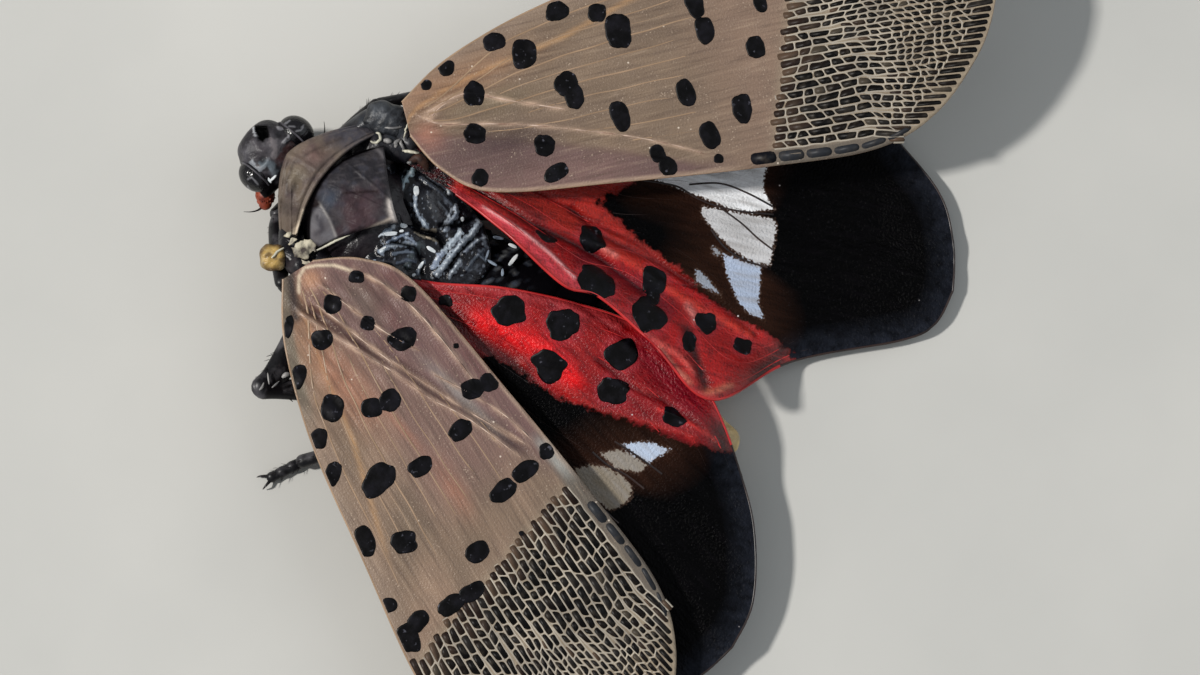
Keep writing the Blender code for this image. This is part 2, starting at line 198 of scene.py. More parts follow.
# Each fold is a path of (along, across) points, its half width and how far it rises
FOREWINGS = {
    "right": {
        "side": -1.0,
        "hinge": (-3.315, -3.43),
        "angle": 46.2, "root_z": 4.1, "rise": 0.2,
        "furrow": [(0.03, 0.18), (2.6, 0.95), (5.04, 1.78), (7.4, 2.7), (9.65, 3.63)],
        "furrow_depth": 0.07,
        "ridges": [
            ([(5.4, 1.48), (7.24, 2.16), (8.76, 2.85), (9.9, 3.49)], 0.07, 0.08),
            ([(0.6, -0.2), (1.46, -0.49), (2.32, -0.59), (2.96, -0.32), (3.83, 0.09), (5.49, 0.78)], 0.1,
             0.05),
            ([(0.4, -0.26), (1.12, 0.24), (2.84, 0.66), (4.02, 0.99), (5.4, 1.46)], 0.08, 0.03),
            ([(0.9, -0.1), (1.2, -0.3), (1.5, -0.42)], 0.14, 0.08),
        ],
        "crumple": 0.015,
        "net_start": (13.6, -0.37),
        "spots": [(1.8, -1.65, 0.3, 0.3, 14), (0.97, -1.23, 0.2, 0.2, 14), (3.66, -2.15, 0.42, 0.33, -1),
                  (4.57, -1.48, 0.58, 0.44, -71), (6.08, -2.68, 0.43, 0.36, 4),
                  (7.43, -2.29, 0.36, 0.33, -66), (7.99, -1.48, 0.66, 0.48, -86),
                  (2.52, -0.52, 0.46, 0.38, -76), (5.74, -0.09, 0.46, 0.42, -46), (5.9, 0.4, 0.46, 0.36, -86),
                  (7.3, 1.46, 0.56, 0.35, 84), (2.2, 0.86, 0.4, 0.37, 14), (4.47, 1.83, 0.4, 0.38, -76),
                  (2.0, 2.4, 0.33, 0.29, -66), (4.63, 2.86, 0.47, 0.3, -16), (9.75, 1.22, 0.52, 0.33, 84),
                  (11.54, 2.22, 0.54, 0.36, -82), (10.2, 2.87, 0.5, 0.36, 80), (8.26, 3.06, 0.34, 0.28, 74),
                  (8.5, 3.57, 0.36, 0.32, 74), (10.3, 3.74, 0.18, 0.17, 14), (12.54, 0.24, 0.42, 0.34, -86),
                  (10.84, -1.74, 0.52, 0.32, 84), (10.95, -0.78, 0.52, 0.34, -86), (9.3, -2.95, 0.4, 0.3, 5),
                  (12.3, -2.6, 0.5, 0.36, 80), (13.1, -1.2, 0.3, 0.24, 80)],
    },
    "left": {
        "side": 1.0,
        "hinge": (2.85, -3.85),
        "angle": 25.9, "root_z": 4.12, "rise": -1.72,
        "furrow": [(1.2, -0.72), (1.78, -0.4), (3.52, 0.42), (4.72, 1.05), (6.13, 1.63), (7.47, 2.4),
                   (8.78, 2.95), (9.6, 3.25)],
        "furrow_depth": 0.12,
        "ridges": [
            ([(1.3, -1.0), (1.9, -0.7), (3.6, 0.12), (4.8, 0.75), (6.2, 1.33), (7.5, 2.1), (9.6, 2.95)], 0.08,
             0.05),
            ([(1.4, -0.3), (1.87, -0.12), (4.39, 0.85), (5.48, 1.4), (7.19, 2.2), (9.3, 3.35)], 0.08, 0.08),
            ([(0.9, 0.2), (1.6, 0.45), (2.6, 0.85), (3.5, 1.25), (4.6, 1.9)], 0.07, 0.08),
            ([(1.1, 1.5), (1.49, 1.76), (2.05, 2.07), (3.08, 2.46), (4.47, 2.73), (6.4, 2.95)], 0.09, 0.11),
            ([(5.6, 1.9), (7.0, 2.75), (8.2, 3.3), (9.3, 3.6)], 0.08, 0.07),
        ],
        "crumple": 0.05,
        "net_start": (12.4, -0.32),
        "spots": [(1.27, 1.38, 0.28, 0.23, 58), (1.64, 0.16, 0.35, 0.33, -32), (2.49, -0.79, 0.4, 0.35, 68),
                  (2.84, 0.86, 0.27, 0.26, 58), (3.93, 1.62, 0.52, 0.4, 88), (2.71, 2.62, 0.3, 0.28, -32),
                  (5.11, 3.08, 0.1, 0.1, 58), (6.69, 2.78, 0.44, 0.36, 73), (6.79, 3.39, 0.34, 0.34, 58),
                  (1.5, -1.54, 0.4, 0.17, -42), (3.15, -2.16, 0.44, 0.27, -47), (7.68, 1.65, 0.46, 0.34, -87),
                  (9.88, 3.83, 0.3, 0.27, -22), (10.26, 1.8, 0.55, 0.34, -85), (10.07, 2.83, 0.52, 0.33, -85),
                  (11.58, -0.09, 0.46, 0.36, -87), (11.84, 1.56, 0.09, 0.09, 58),
                  (4.69, -1.74, 0.49, 0.42, -42), (5.4, -0.58, 0.38, 0.36, 58), (5.52, 0.1, 0.42, 0.38, -62),
                  (5.34, -2.68, 0.37, 0.3, -42), (6.63, -2.92, 0.46, 0.28, -47),
                  (7.65, -1.69, 0.72, 0.47, -72), (8.02, -0.21, 0.47, 0.33, -87),
                  (9.2, -3.2, 0.58, 0.34, -17), (9.94, -2.07, 0.47, 0.42, 68), (11.52, -3.65, 0.27, 0.27, 58),
                  (12.51, -3.08, 0.4, 0.34, -72), (12.84, -3.68, 0.56, 0.38, -12),
                  (12.65, -1.84, 0.52, 0.33, 88), (12.66, -0.98, 0.5, 0.31, 88)],
    },
}


def steps(count):
    return np.linspace(0, 1, count)


def spline(points, share):
    """Places on the smooth curve through points, with share going from 0 to 1 along it."""
    knots = np.array(points, float)
    place = np.clip(np.asarray(share, float), 0, 1) * (len(knots) - 1)
    index = np.minimum(place.astype(int), len(knots) - 2)
    step = (place - index)[..., None]
    before, start, end, after = (knots[np.clip(index + k, 0, len(knots) - 1)] for k in (-1, 0, 1, 2))
    bend = (2 * before - 5 * start + 4 * end - after) * step ** 2
    twist = (3 * start - before - 3 * end + after) * step ** 3
    return start + ((end - before) * step + bend + twist) / 2


def rising(low, high, value):
    """0 below low, 1 above high and an S-curve between them."""
    share = np.clip((np.asarray(value, float) - low) / (high - low), 0, 1)
    return share * share * (3 - 2 * share)


def falling(low, high, value):
    return 1 - rising(low, high, value)


def ripple(x, y, size, seed):
    """Smooth random waves between about -1 and 1, size mm from crest to crest."""
    pick = np.random.default_rng(seed)
    total = 0
    turns, phases, stretches = (pick.uniform(*span, 7) for span in ((0, 2 * np.pi), (0, 6.3), (0.6, 1.7)))
    for turn, phase, stretch in zip(turns, phases, stretches):
        total = total + np.sin((x * np.cos(turn) + y * np.sin(turn)) * 2 * np.pi * stretch / size + phase)
    return total / 3.5


def bell(offset, half):
    """1 at an offset of 0, fading to 0 at about twice half."""
    return np.exp(-(offset / half) ** 2)


def patch(x, y, mid_x, mid_y, half_x, half_y):
    """1 at a middle, fading to 0 at about twice the half widths away from it."""
    return np.exp(-((x - mid_x) / half_x) ** 2 - ((y - mid_y) / half_y) ** 2)


def on_wing(wing, along, across):
    """The place in plan that lies along the wing's axis and across it, towards the tail."""
    turn = math.radians(wing["angle"])
    x = wing["hinge"][0] + wing["side"] * (math.sin(turn) * along - math.cos(turn) * across)
    y = wing["hinge"][1] + math.cos(turn) * along + math.sin(turn) * across
    return x, y


def from_wing(wing, x, y):
    """How far a place in plan lies along the wing's axis and across it."""
    turn = math.radians(wing["angle"])
    x, y = (x - wing["hinge"][0]) * wing["side"], y - wing["hinge"][1]
    return math.sin(turn) * x + math.cos(turn) * y, -math.cos(turn) * x + math.sin(turn) * y


def beside_path(path, along, across):
    """The distance across from a fold's path, and 1 within the path's length, fading to 0 past its ends."""
    places, widths = zip(*path)
    first, last = places[0], places[-1]
    within = rising(first - 0.4, first + 0.3, along) * falling(last - 0.6, last + 0.5, along)
    return across - np.interp(along, places, widths), within


def forewing_height(wing, along, across):
    z = wing["root_z"] + wing["rise"] * along / FOREWING_LENGTH - FOREWING_CAMBER * across ** 2
    offset, within = beside_path(wing["furrow"], along, across)
    z = z - wing["furrow_depth"] * within * np.exp(-(offset / 0.17) ** 4)
    for path, width, rise in wing["ridges"]:
        offset, within = beside_path(path, along, across)
        z = z + rise * within * bell(offset, width)
    near_root = falling(3.5, 7.0, along)
    z = z + wing["crumple"] * near_root * rising(0.2, 1.2, along) * ripple(along, across * 1.6, 1.3, 5)
    return z + 0.012 * ripple(along * 0.25, across, 1.1, 8)


def forewing_points(wing, along, across, lift=0.0):
    x, y = on_wing(wing, along, across)
    return np.stack((x, y, forewing_height(wing, along, across) + lift), -1)


def shut_form(name, points, faces, material, merge=0.0005):
    """A closed mesh from points in mm, its doubles merged and its faces turned outwards."""
    form = bmesh.new()
    corners = [form.verts.new(point) for point in np.asarray(points, float) * MM]
    for face in faces:
        form.faces.new([corners[i] for i in face])
    bmesh.ops.remove_doubles(form, verts=form.verts, dist=merge * MM)
    bmesh.ops.dissolve_degenerate(form, dist=merge * MM * 0.2, edges=form.edges)
    bmesh.ops.recalc_face_normals(form, faces=form.faces)
    if form.calc_volume(signed=True) < 0:
        bmesh.ops.reverse_faces(form, faces=form.faces)
    for face in form.faces:
        face.smooth = True
    mesh = bpy.data.meshes.new(name)
    form.to_mesh(mesh)
    form.free()
    return link_mesh(name, mesh, material)


def thin_sheet(name, place, half, columns, rows, material):
    """A closed sheet: place turns (across, along), each 0 to 1, into the points of its middle in mm."""
    across, along = (grid.ravel() for grid in np.meshgrid(steps(columns), steps(rows)))
    middle = place(across, along)
    count = rows * columns
    lift = np.zeros_like(middle)
    lift[:, 2] = half(across, along) if callable(half) else half
    index = np.arange(count).reshape(rows, columns)
    top = np.stack((index[:-1, :-1], index[:-1, 1:], index[1:, 1:], index[1:, :-1]), -1).reshape(-1, 4)
    edge = np.concatenate((index[0], index[1:, -1], index[-1, -2::-1], index[-2:0:-1, 0]))
    beside = np.roll(edge, -1)
    rim = np.stack((edge, beside, beside + count, edge + count), -1)
    faces = top.tolist() + (top[:, ::-1] + count).tolist() + rim[:, ::-1].tolist()
    return shut_form(name, np.vstack((middle + lift, middle - lift)), faces, material)


def corners_mm(piece):
    places = np.empty(len(piece.data.vertices) * 3)
    piece.data.vertices.foreach_get("co", places)
    return places.reshape(-1, 3) / MM


def give_colours(piece, name, colours):
    """Stores a colour for each corner of the mesh, which the material reads by name."""
    attribute = piece.data.attributes.new(name, "FLOAT_COLOR", "POINT")
    attribute.data.foreach_set("color", np.asarray(colours, np.float32).ravel())


def give_places(piece, name, places):
    """Stores a place for each corner of the mesh, in mm, which the material reads by name."""
    attribute = piece.data.attributes.new(name, "FLOAT_VECTOR", "POINT")
    attribute.data.foreach_set("vector", np.asarray(places, np.float32).ravel())


def tinted(base, share, colour):
    """Rows of colour turned towards colour by share, a number for each row."""
    return base + (np.array(colour) - base) * np.clip(share, 0, 1)[:, None]


def coat(count, colour):
    return np.tile(np.array(colour), (count, 1))


def layered(base, *layers):
    """The rows tinted in turn by layers, each a share and a colour on the 0 to 255 scale."""
    for share, colour in layers:
        base = tinted(base, share, paint(*colour))
    return base


def hang(piece, slot, *nodes):
    """The piece belongs to the still body and stands for the CAD nodes, which it hides. The slot is not used.
    """
    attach(piece, "root")
    if nodes:
        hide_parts(*nodes)
    return piece


def make_vein_tree():
    """Geometry Nodes: round tubes along the edges of a mesh, as thick as its corners say."""
    tree = bpy.data.node_groups.new("vein_tubes", "GeometryNodeTree")
    sockets = {name: tree.interface.new_socket(name, in_out="INPUT", socket_type="NodeSocket" + kind)
               for name, kind in (("Geometry", "Geometry"), ("Thickness", "Float"), ("Sides", "Int"),
                                  ("Finish", "Material"))}
    sockets["Thickness"].default_value = 1.0
    sockets["Sides"].default_value = 6
    tree.interface.new_socket("Geometry", in_out="OUTPUT", socket_type="NodeSocketGeometry")
    add = node_adder(tree)
    start = add("NodeGroupInput").outputs
    curves = add("GeometryNodeMeshToCurve", {"Mesh": start["Geometry"]}).outputs["Curve"]
    radius = add("GeometryNodeInputNamedAttribute", {"Name": "thick"}, data_type="FLOAT").outputs["Attribute"]
    scaled = combined(add, radius, start["Thickness"])
    sized = add("GeometryNodeSetCurveRadius", {"Curve": curves, "Radius": scaled}).outputs["Curve"]
    ring = add("GeometryNodeCurvePrimitiveCircle", {"Radius": 1.0, "Resolution": start["Sides"]})
    ring = ring.outputs["Curve"]
    tubes = add("GeometryNodeCurveToMesh", {"Fill Caps": True, "Curve": sized, "Profile Curve": ring})
    if "Scale" in tubes.inputs:
        tree.links.new(scaled, tubes.inputs["Scale"])
    real = add("GeometryNodeRealizeInstances", {"Geometry": tubes.outputs["Mesh"]}).outputs["Geometry"]
    coated = add("GeometryNodeSetMaterial", {"Geometry": real, "Material": start["Finish"]})
    add("NodeGroupOutput", {"Geometry": coated.outputs["Geometry"]})
    return tree, {name: socket.identifier for name, socket in sockets.items()}


vein_tree, vein_inputs = make_vein_tree()


def frozen(name, source, material):
    """The source's evaluated modifiers as a plain mesh piece; the source is removed."""
    depsgraph = bpy.context.evaluated_depsgraph_get()
    mesh = bpy.data.meshes.new_from_object(source.evaluated_get(depsgraph))
    bpy.data.objects.remove(source)
    mesh.name = name
    form = bmesh.new()
    form.from_mesh(mesh)
    bmesh.ops.recalc_face_normals(form, faces=form.faces)
    for face in form.faces:
        face.smooth = True
    form.to_mesh(mesh)
    form.free()
    return link_mesh(name, mesh, material)


def tube_piece(name, lines, material, sides=6):
    """Tubes along lines, each a list of points in mm and their radii."""
    points, edges, radii = [], [], []
    for line, radius in lines:
        first = len(points)
        points.extend(tuple(point) for point in np.asarray(line, float) * MM)
        radii.extend(np.broadcast_to(radius, len(line)) * MM)
        edges.extend((first + i, first + i + 1) for i in range(len(line) - 1))
    mesh = bpy.data.meshes.new(name + "_lines")
    mesh.from_pydata(points, edges, [])
    thick = mesh.attributes.new("thick", "FLOAT", "POINT")
    thick.data.foreach_set("value", np.array(radii, np.float32))
    source = bpy.data.objects.new(name + "_lines", mesh)
    bpy.context.scene.collection.objects.link(source)
    modifier = source.modifiers.new("Tubes", "NODES")
    modifier.node_group = vein_tree
    modifier[vein_inputs["Thickness"]] = 1.0
    modifier[vein_inputs["Sides"]] = sides
    modifier[vein_inputs["Finish"]] = material
    return frozen(name, source, material)


def lens_piece(name, outlines, surface, half, rise, material, inner=(0.16, 0.32, 0.48, 0.66)):
    """Flat closed lenses that lie through a sheet and stand a little proud of both sides."""
    points, faces = [], []
    for along, across in outlines:
        centre = np.array((along.mean(), across.mean()))
        plan = np.stack((along, across), -1) - centre
        shells = [(centre + plan * reach, height * (half + rise)) for reach, height in
                  [(step, 1.0) for step in inner] + [(0.84, 0.96), (0.95, 0.86), (1.0, 0.0)]]
        order = shells + [(ring, -height) for ring, height in shells[-2::-1]]
        first, count = len(points), len(along)
        for ring, height in order:
            points.extend(surface(*ring.T, height))
        for middle_height in (half + rise, -half - rise):
            points.append(surface(centre[:1], centre[1:], middle_height)[0])
        for low in range(first, first + (len(order) - 1) * count, count):
            faces.extend((low + i, low + count + i, low + count + j, low + j)
                         for i, j in zip(range(count), [*range(1, count), 0]))
        top, bottom, last = len(points) - 2, len(points) - 1, first + (len(order) - 1) * count
        for i in range(count):
            j = (i + 1) % count
            faces.append((first + i, first + j, top))
            faces.append((last + j, last + i, bottom))
    return shut_form(name, points, faces, material, merge=0.0)


def spot_outline(along, across, long_half, short_half, turn, seed, sides=SPOT_SIDES, rough=1.0):
    """An uneven rounded blotch, its long axis turned in degrees from the wing's axis."""
    pick = np.random.default_rng(seed)
    angle = np.linspace(0, 2 * np.pi, sides, endpoint=False)
    square = (np.abs(np.cos(angle)) ** 2.4 + np.abs(np.sin(angle)) ** 2.4) ** (-1 / 2.4)
    for waves, size in ((2, 0.04), (3, 0.07), (4, 0.04), (5, 0.035), (7, 0.03), (11, 0.02)):
        deep, phase = pick.uniform(-1, 1), pick.uniform(0, 6.3)
        square = square * (1 + rough * size * deep * np.sin(waves * angle + phase))
    u, v = square * long_half * np.cos(angle), square * short_half * np.sin(angle)
    lean = math.radians(turn)
    return along + u * math.cos(lean) - v * math.sin(lean), across + u * math.sin(lean) + v * math.cos(lean)


def off_path(path, x, y):
    """How far each place lies from a path of (x, y) points, in mm."""
    nearest = np.full(np.shape(x), 1e9)
    for (x0, y0), (x1, y1) in zip(path, path[1:]):
        run, climb = x1 - x0, y1 - y0
        share = np.clip(((x - x0) * run + (y - y0) * climb) / (run * run + climb * climb + 1e-12), 0, 1)
        nearest = np.minimum(nearest, np.hypot(x - x0 - share * run, y - y0 - share * climb))
    return nearest


def beside(path, width, x, y):
    """1 on a path, fading to 0 at about twice the width away from it."""
    return bell(off_path(path, x, y), width)


def edge_across(points, along):
    """The outline's place across the wing at a place along it."""
    curve = spline(points, steps(600))
    return np.interp(along, curve[:, 0], curve[:, 1])


def forewing_edges(along):
    """The leading and trailing edge's places across the wing at a place along it."""
    return edge_across(FOREWING_LEADING, along), edge_across(FOREWING_TRAILING, along)


def forewing_colours(wing, side, along, across):
    """Tan, mauve behind the furrow, orange at the root, pale edges and a pale ground under the net, with
    painted shade in the left furrow and painted highlights on the ridges and the left root's rim.
    """
    lead, trail = forewing_edges(along)
    costal = -0.7 * np.sqrt(np.maximum(along, 0)) - 0.15 * np.maximum(along - 6, 0)
    offset, within = beside_path(wing["furrow"], along, across)
    base = layered(
        coat(len(along), paint(132, 112, 94) if side == "right" else paint(146, 121, 102)),
        (0.5 + 0.5 * ripple(along * 0.5, across, 2.2, 3), (118, 100, 84)),
        (0.6 * falling(0, 0.9, across - lead), (150, 130, 114)),
        (0.7 * bell(across - costal, 0.09) * falling(8.0, 11.0, along), (184, 142, 98)),
        (0.6 * bell(across - costal - 0.16, 0.06) * falling(5.0, 8.0, along), (84, 66, 52)),
        (0.85 * (rising(-0.1, 0.35, offset) * falling(9.0, 11.5, along)), (102, 78, 78)),
        (0.4 * (bell(across + 0.9 + 0.12 * along, 0.7) * falling(2.0, 6.5, along)), (170, 120, 84)))
    if side == "left":
        orange = patch(along, across, 4.0, -1.0, 1.6, 0.55) + patch(along, across, 9.3, 0.35, 1.1, 0.35)
        orange = orange + np.exp(-((along - 6.5) / 1.0) ** 2
                                 - ((across + 0.05 - 0.15 * (along - 6.5)) / 0.16) ** 2)
        grey = np.exp(-((along - 6.5) / 1.7) ** 2 - ((across - 2.25 - 0.25 * (along - 6.5)) / 0.22) ** 2)
        wine = np.exp(-((along - 2.7) / 1.8) ** 2 - ((across - 1.62 - 0.1 * (along - 2.6)) / 0.26) ** 2)
        margin = rising(0.1, 0.25, across - np.interp(along, (1.0, 2.0, 3.1, 4.5, 6.4),
                                                      (1.45, 2.1, 2.5, 2.8, 3.0)))
        # A painted highlight: a cream line along the left wing's root rim.
        cream = [(0.67, -0.6), (0.23, -0.33), (0.06, 0.0), (0.2, 0.4), (0.52, 0.93), (0.98, 1.33)]
        base = layered(
            base,
            (0.65 * falling(8.5, 11.0, along) * rising(-1.6, 0.4, across), (122, 92, 88)),
            # Painted shade in the furrow.
            (0.9 * within * np.exp(-(offset / 0.26) ** 4), (70, 46, 46)),
            (0.5 * orange, (170, 112, 88)),
            (0.6 * patch(along, across, 4.9, -0.7, 1.3, 0.55), (168, 118, 94)),
            (0.65 * grey, (150, 146, 142)),
            (0.7 * wine, (104, 66, 66)),
            (0.75 * margin * rising(1.2, 2.0, along) * falling(6.0, 7.5, along), (106, 72, 70)),
            (0.6 * patch(along, across, 2.1, 1.2, 1.0, 0.6), (104, 92, 82)),
            (0.7 * bell(np.hypot(along - 0.5, across + 0.05), 0.4), (206, 152, 116)),
            (0.85 * (falling(0.3, 0.5, across - lead) * falling(3.5, 5.5, along)), (110, 102, 88)),
            (0.95 * beside([(-0.2, -0.45), (0.59, -0.8), (1.36, -1.15)], 0.2, along, across), (44, 36, 36)),
            (0.9 * beside(cream, 0.06, along, across), (226, 206, 178)),
            (rising(9.0, 9.8, along) * falling(0.3, 0.6, trail - across) * falling(11.6, 12.4, along),
             (158, 156, 150)))
    else:
        base = layered(
            base,
            (0.75 * patch(along, across, 3.4, 1.35, 1.8, 0.5), (64, 49, 51)),
            (0.6 * rising(0.2, 1.0, across - 2.0) * falling(6, 8, along), (126, 98, 92)),
            (0.8 * bell(np.hypot(along - 0.6, across - 0.5), 0.5), (168, 116, 98)),
            (0.5 * patch(along, across, 3.0, -0.1, 1.6, 0.4), (104, 94, 72)),
            (0.4 * rising(9.0, 12.5, along), (146, 118, 104)))
    # Painted highlights: the fold ridges are tinted pale.
    highlight_share = 0.55 + 0.35 * ripple(along, across * 2, 0.9, 66)
    for path, width, rise in wing["ridges"]:
        offset, within = beside_path(path, along, across)
        base = tinted(base, highlight_share * within * bell(offset, width), paint(204, 172, 148))
    net_along, net_slope = wing["net_start"]
    smoke = rising(net_along - 2.0, net_along - 1.0, along) * falling(16.6, 17.4, along)
    return layered(
        base,
        (rising(-0.3, 0.5, along - (net_along + net_slope * across)), (150, 136, 116)),
        (0.8 * smoke * falling(0.5, 0.62, trail - across), (88, 82, 76)),
        (0.7 * falling(0.05, 0.16, trail - across) * falling(10.5, 11.5, along), (196, 168, 144)))


tegmen, add, feed = new_finish("tegmen", 0.42, 0.45)
place = read(add, "wing", "Vector")
tint = read(add, "tint")
drawn_out = add("ShaderNodeMapping", {"Vector": place, "Scale": (0.45, 6.5, 1.0)}).outputs[0]
streaks = noise(add, drawn_out, 1.0, 6.0, 0.62)
clouds = noise(add, place, 1.4, 5.0)
pores = noise(add, place, 14.0, 3.0)
colour = flecked(add, tint, streaks, 0.56, 0.8, 0.42, paint(192, 168, 144))
colour = flecked(add, colour, streaks, 0.5, 0.26, 0.6, paint(78, 62, 54))
colour = flecked(add, colour, clouds, 0.45, 0.75, 0.3, paint(96, 80, 70))
colour = flecked(add, colour, pores, 0.58, 0.8, 0.32, paint(176, 154, 134))
# Painted glints: small near-white dots scattered over the wing.
glint_cells = add("ShaderNodeTexVoronoi", {"Vector": place, "Scale": 2.6}, feature="F1")
glint_pick = add("ShaderNodeSeparateColor", {"Color": glint_cells.outputs["Color"]}).outputs[0]
glint_share = combined(add, remap(add, glint_cells.outputs["Distance"], 0.11, 0.05, 0.0, 0.8),
                 remap(add, glint_pick, 0.88, 0.9))
colour = mix_colours(add, glint_share, colour, paint(232, 216, 198))
# Tiny pale dots, clustered where the clouds are pale.
pale_dot_cells = add("ShaderNodeTexVoronoi", {"Vector": place, "Scale": 8.0}, feature="F1").outputs["Distance"]
pale_dot_share = combined(add, remap(add, pale_dot_cells, 0.24, 0.1), remap(add, clouds, 0.5, 0.62, 0.0, 0.55))
colour = mix_colours(add, pale_dot_share, colour, paint(206, 184, 162))
feed(colour, "Base Color")
feed(remap(add, clouds, 0.3, 0.7, 0.34, 0.52), "Roughness")
relief = combined(add, streaks, remap(add, pores, 0.3, 0.7, 0.0, 0.3), "ADD")
feed_bump(add, feed, relief, 0.7, 0.00005)


def mottled_finish(name, roughness, first, second, scale, relief=0.00003, specular=0.5, low=0.4, high=0.65,
                   detail=5.0):
    """A finish of two colours in soft patches, scale to the metre, with a fine relief."""
    material, add, feed = new_finish(name, roughness, specular)
    patches = noise(add, object_place(add), scale, detail)
    feed(flecked(add, paint(*first), patches, low, high, 1.0, paint(*second)), "Base Color")
    if relief:
        feed_bump(add, feed, patches, 0.7, relief)
    return material


vein_cream = mottled_finish("vein_cream", 0.42, (186, 176, 160), (148, 140, 128), 900.0, relief=0, low=0.35,
                            detail=3.0)
vein_tan = mottled_finish("vein_tan", 0.38, (146, 120, 96), (166, 138, 112), 700.0, relief=0, detail=3.0)
crease_highlight = mottled_finish("crease_highlight", 0.35, (216, 190, 172), (150, 120, 104), 1200.0, relief=0,
                             high=0.6, detail=3.0)

velvet_black, add, feed = new_finish("velvet_black", 0.45, 0.16)
where = object_place(add)
mottle = noise(add, where, 2500.0, 4.0)
colour = flecked(add, paint(8, 6, 9), mottle, 0.45, 0.8, 1.0, paint(24, 23, 30))
glints = noise(add, where, 5200.0, 2.0)
feed(flecked(add, colour, glints, 0.66, 0.76, 0.7, paint(92, 92, 102)), "Base Color")
feed(remap(add, mottle, 0.3, 0.7, 0.35, 0.55), "Roughness")
feed_bump(add, feed, mottle, 0.6, 0.00004)

net_cell, add, feed = new_finish("net_cell", 0.45, 0.2)
tint = read(add, "tint")
where = object_place(add)
mottle = noise(add, where, 3500.0, 3.0)
feed(flecked(add, tint, mottle, 0.5, 0.85, 0.45, paint(92, 84, 74)), "Base Color")
feed_bump(add, feed, mottle, 0.5, 0.00003)


def net_across(along, share):
    """The place across of the net line that has this share of the lines on its leading side."""
    lead = np.where(along < 14, edge_across(FOREWING_LEADING, along), -4.17 - 0.06 * (along - 14))
    trail = np.where(along < 15.8, edge_across(FOREWING_TRAILING, along), 4.72 + 0.22 * (along - 15.8))
    return lead + (trail - lead) * share


def net_share(line, along):
    """A line's share: it starts as one of the few inner lines and forks apart towards the margin."""
    inner = math.floor(line * NET_ROWS_INNER / NET_ROWS_OUTER) / NET_ROWS_INNER
    outer = line / NET_ROWS_OUTER
    start = 14.4 + 0.9 * math.sin(9 * outer + 1)
    return inner + (outer - inner) * rising(start, start + 2.6, along)


def brick(start, end, low, high, round_off=CELL_ROUND, leans=(0, 0)):
    """The 12 corners of a rounded brick from start to end along the wing, between low and high, which are
    functions of the place along. Its two ends lean along the wing by leans."""
    turn = np.radians((0, 45, 90, 90, 135, 180, 180, 225, 270, 270, 315, 360))
    bend = min(round_off, (end - start) * 0.45)
    forward = np.repeat((1, -1, -1, 1), 3) * ((end - start) / 2 - bend)
    along = (start + end) / 2 + forward + bend * np.cos(turn)
    reach = (high(along) - low(along)) / 2
    rise = np.minimum(round_off, reach * 0.8)
    upward = np.repeat((1, 1, -1, -1), 3) * (reach - rise) + rise * np.sin(turn)
    across = (high(along) + low(along)) / 2 + upward
    share = (along - start) / (end - start)
    return along + (leans[0] * (1 - share) + leans[1] * share) * upward / reach, across


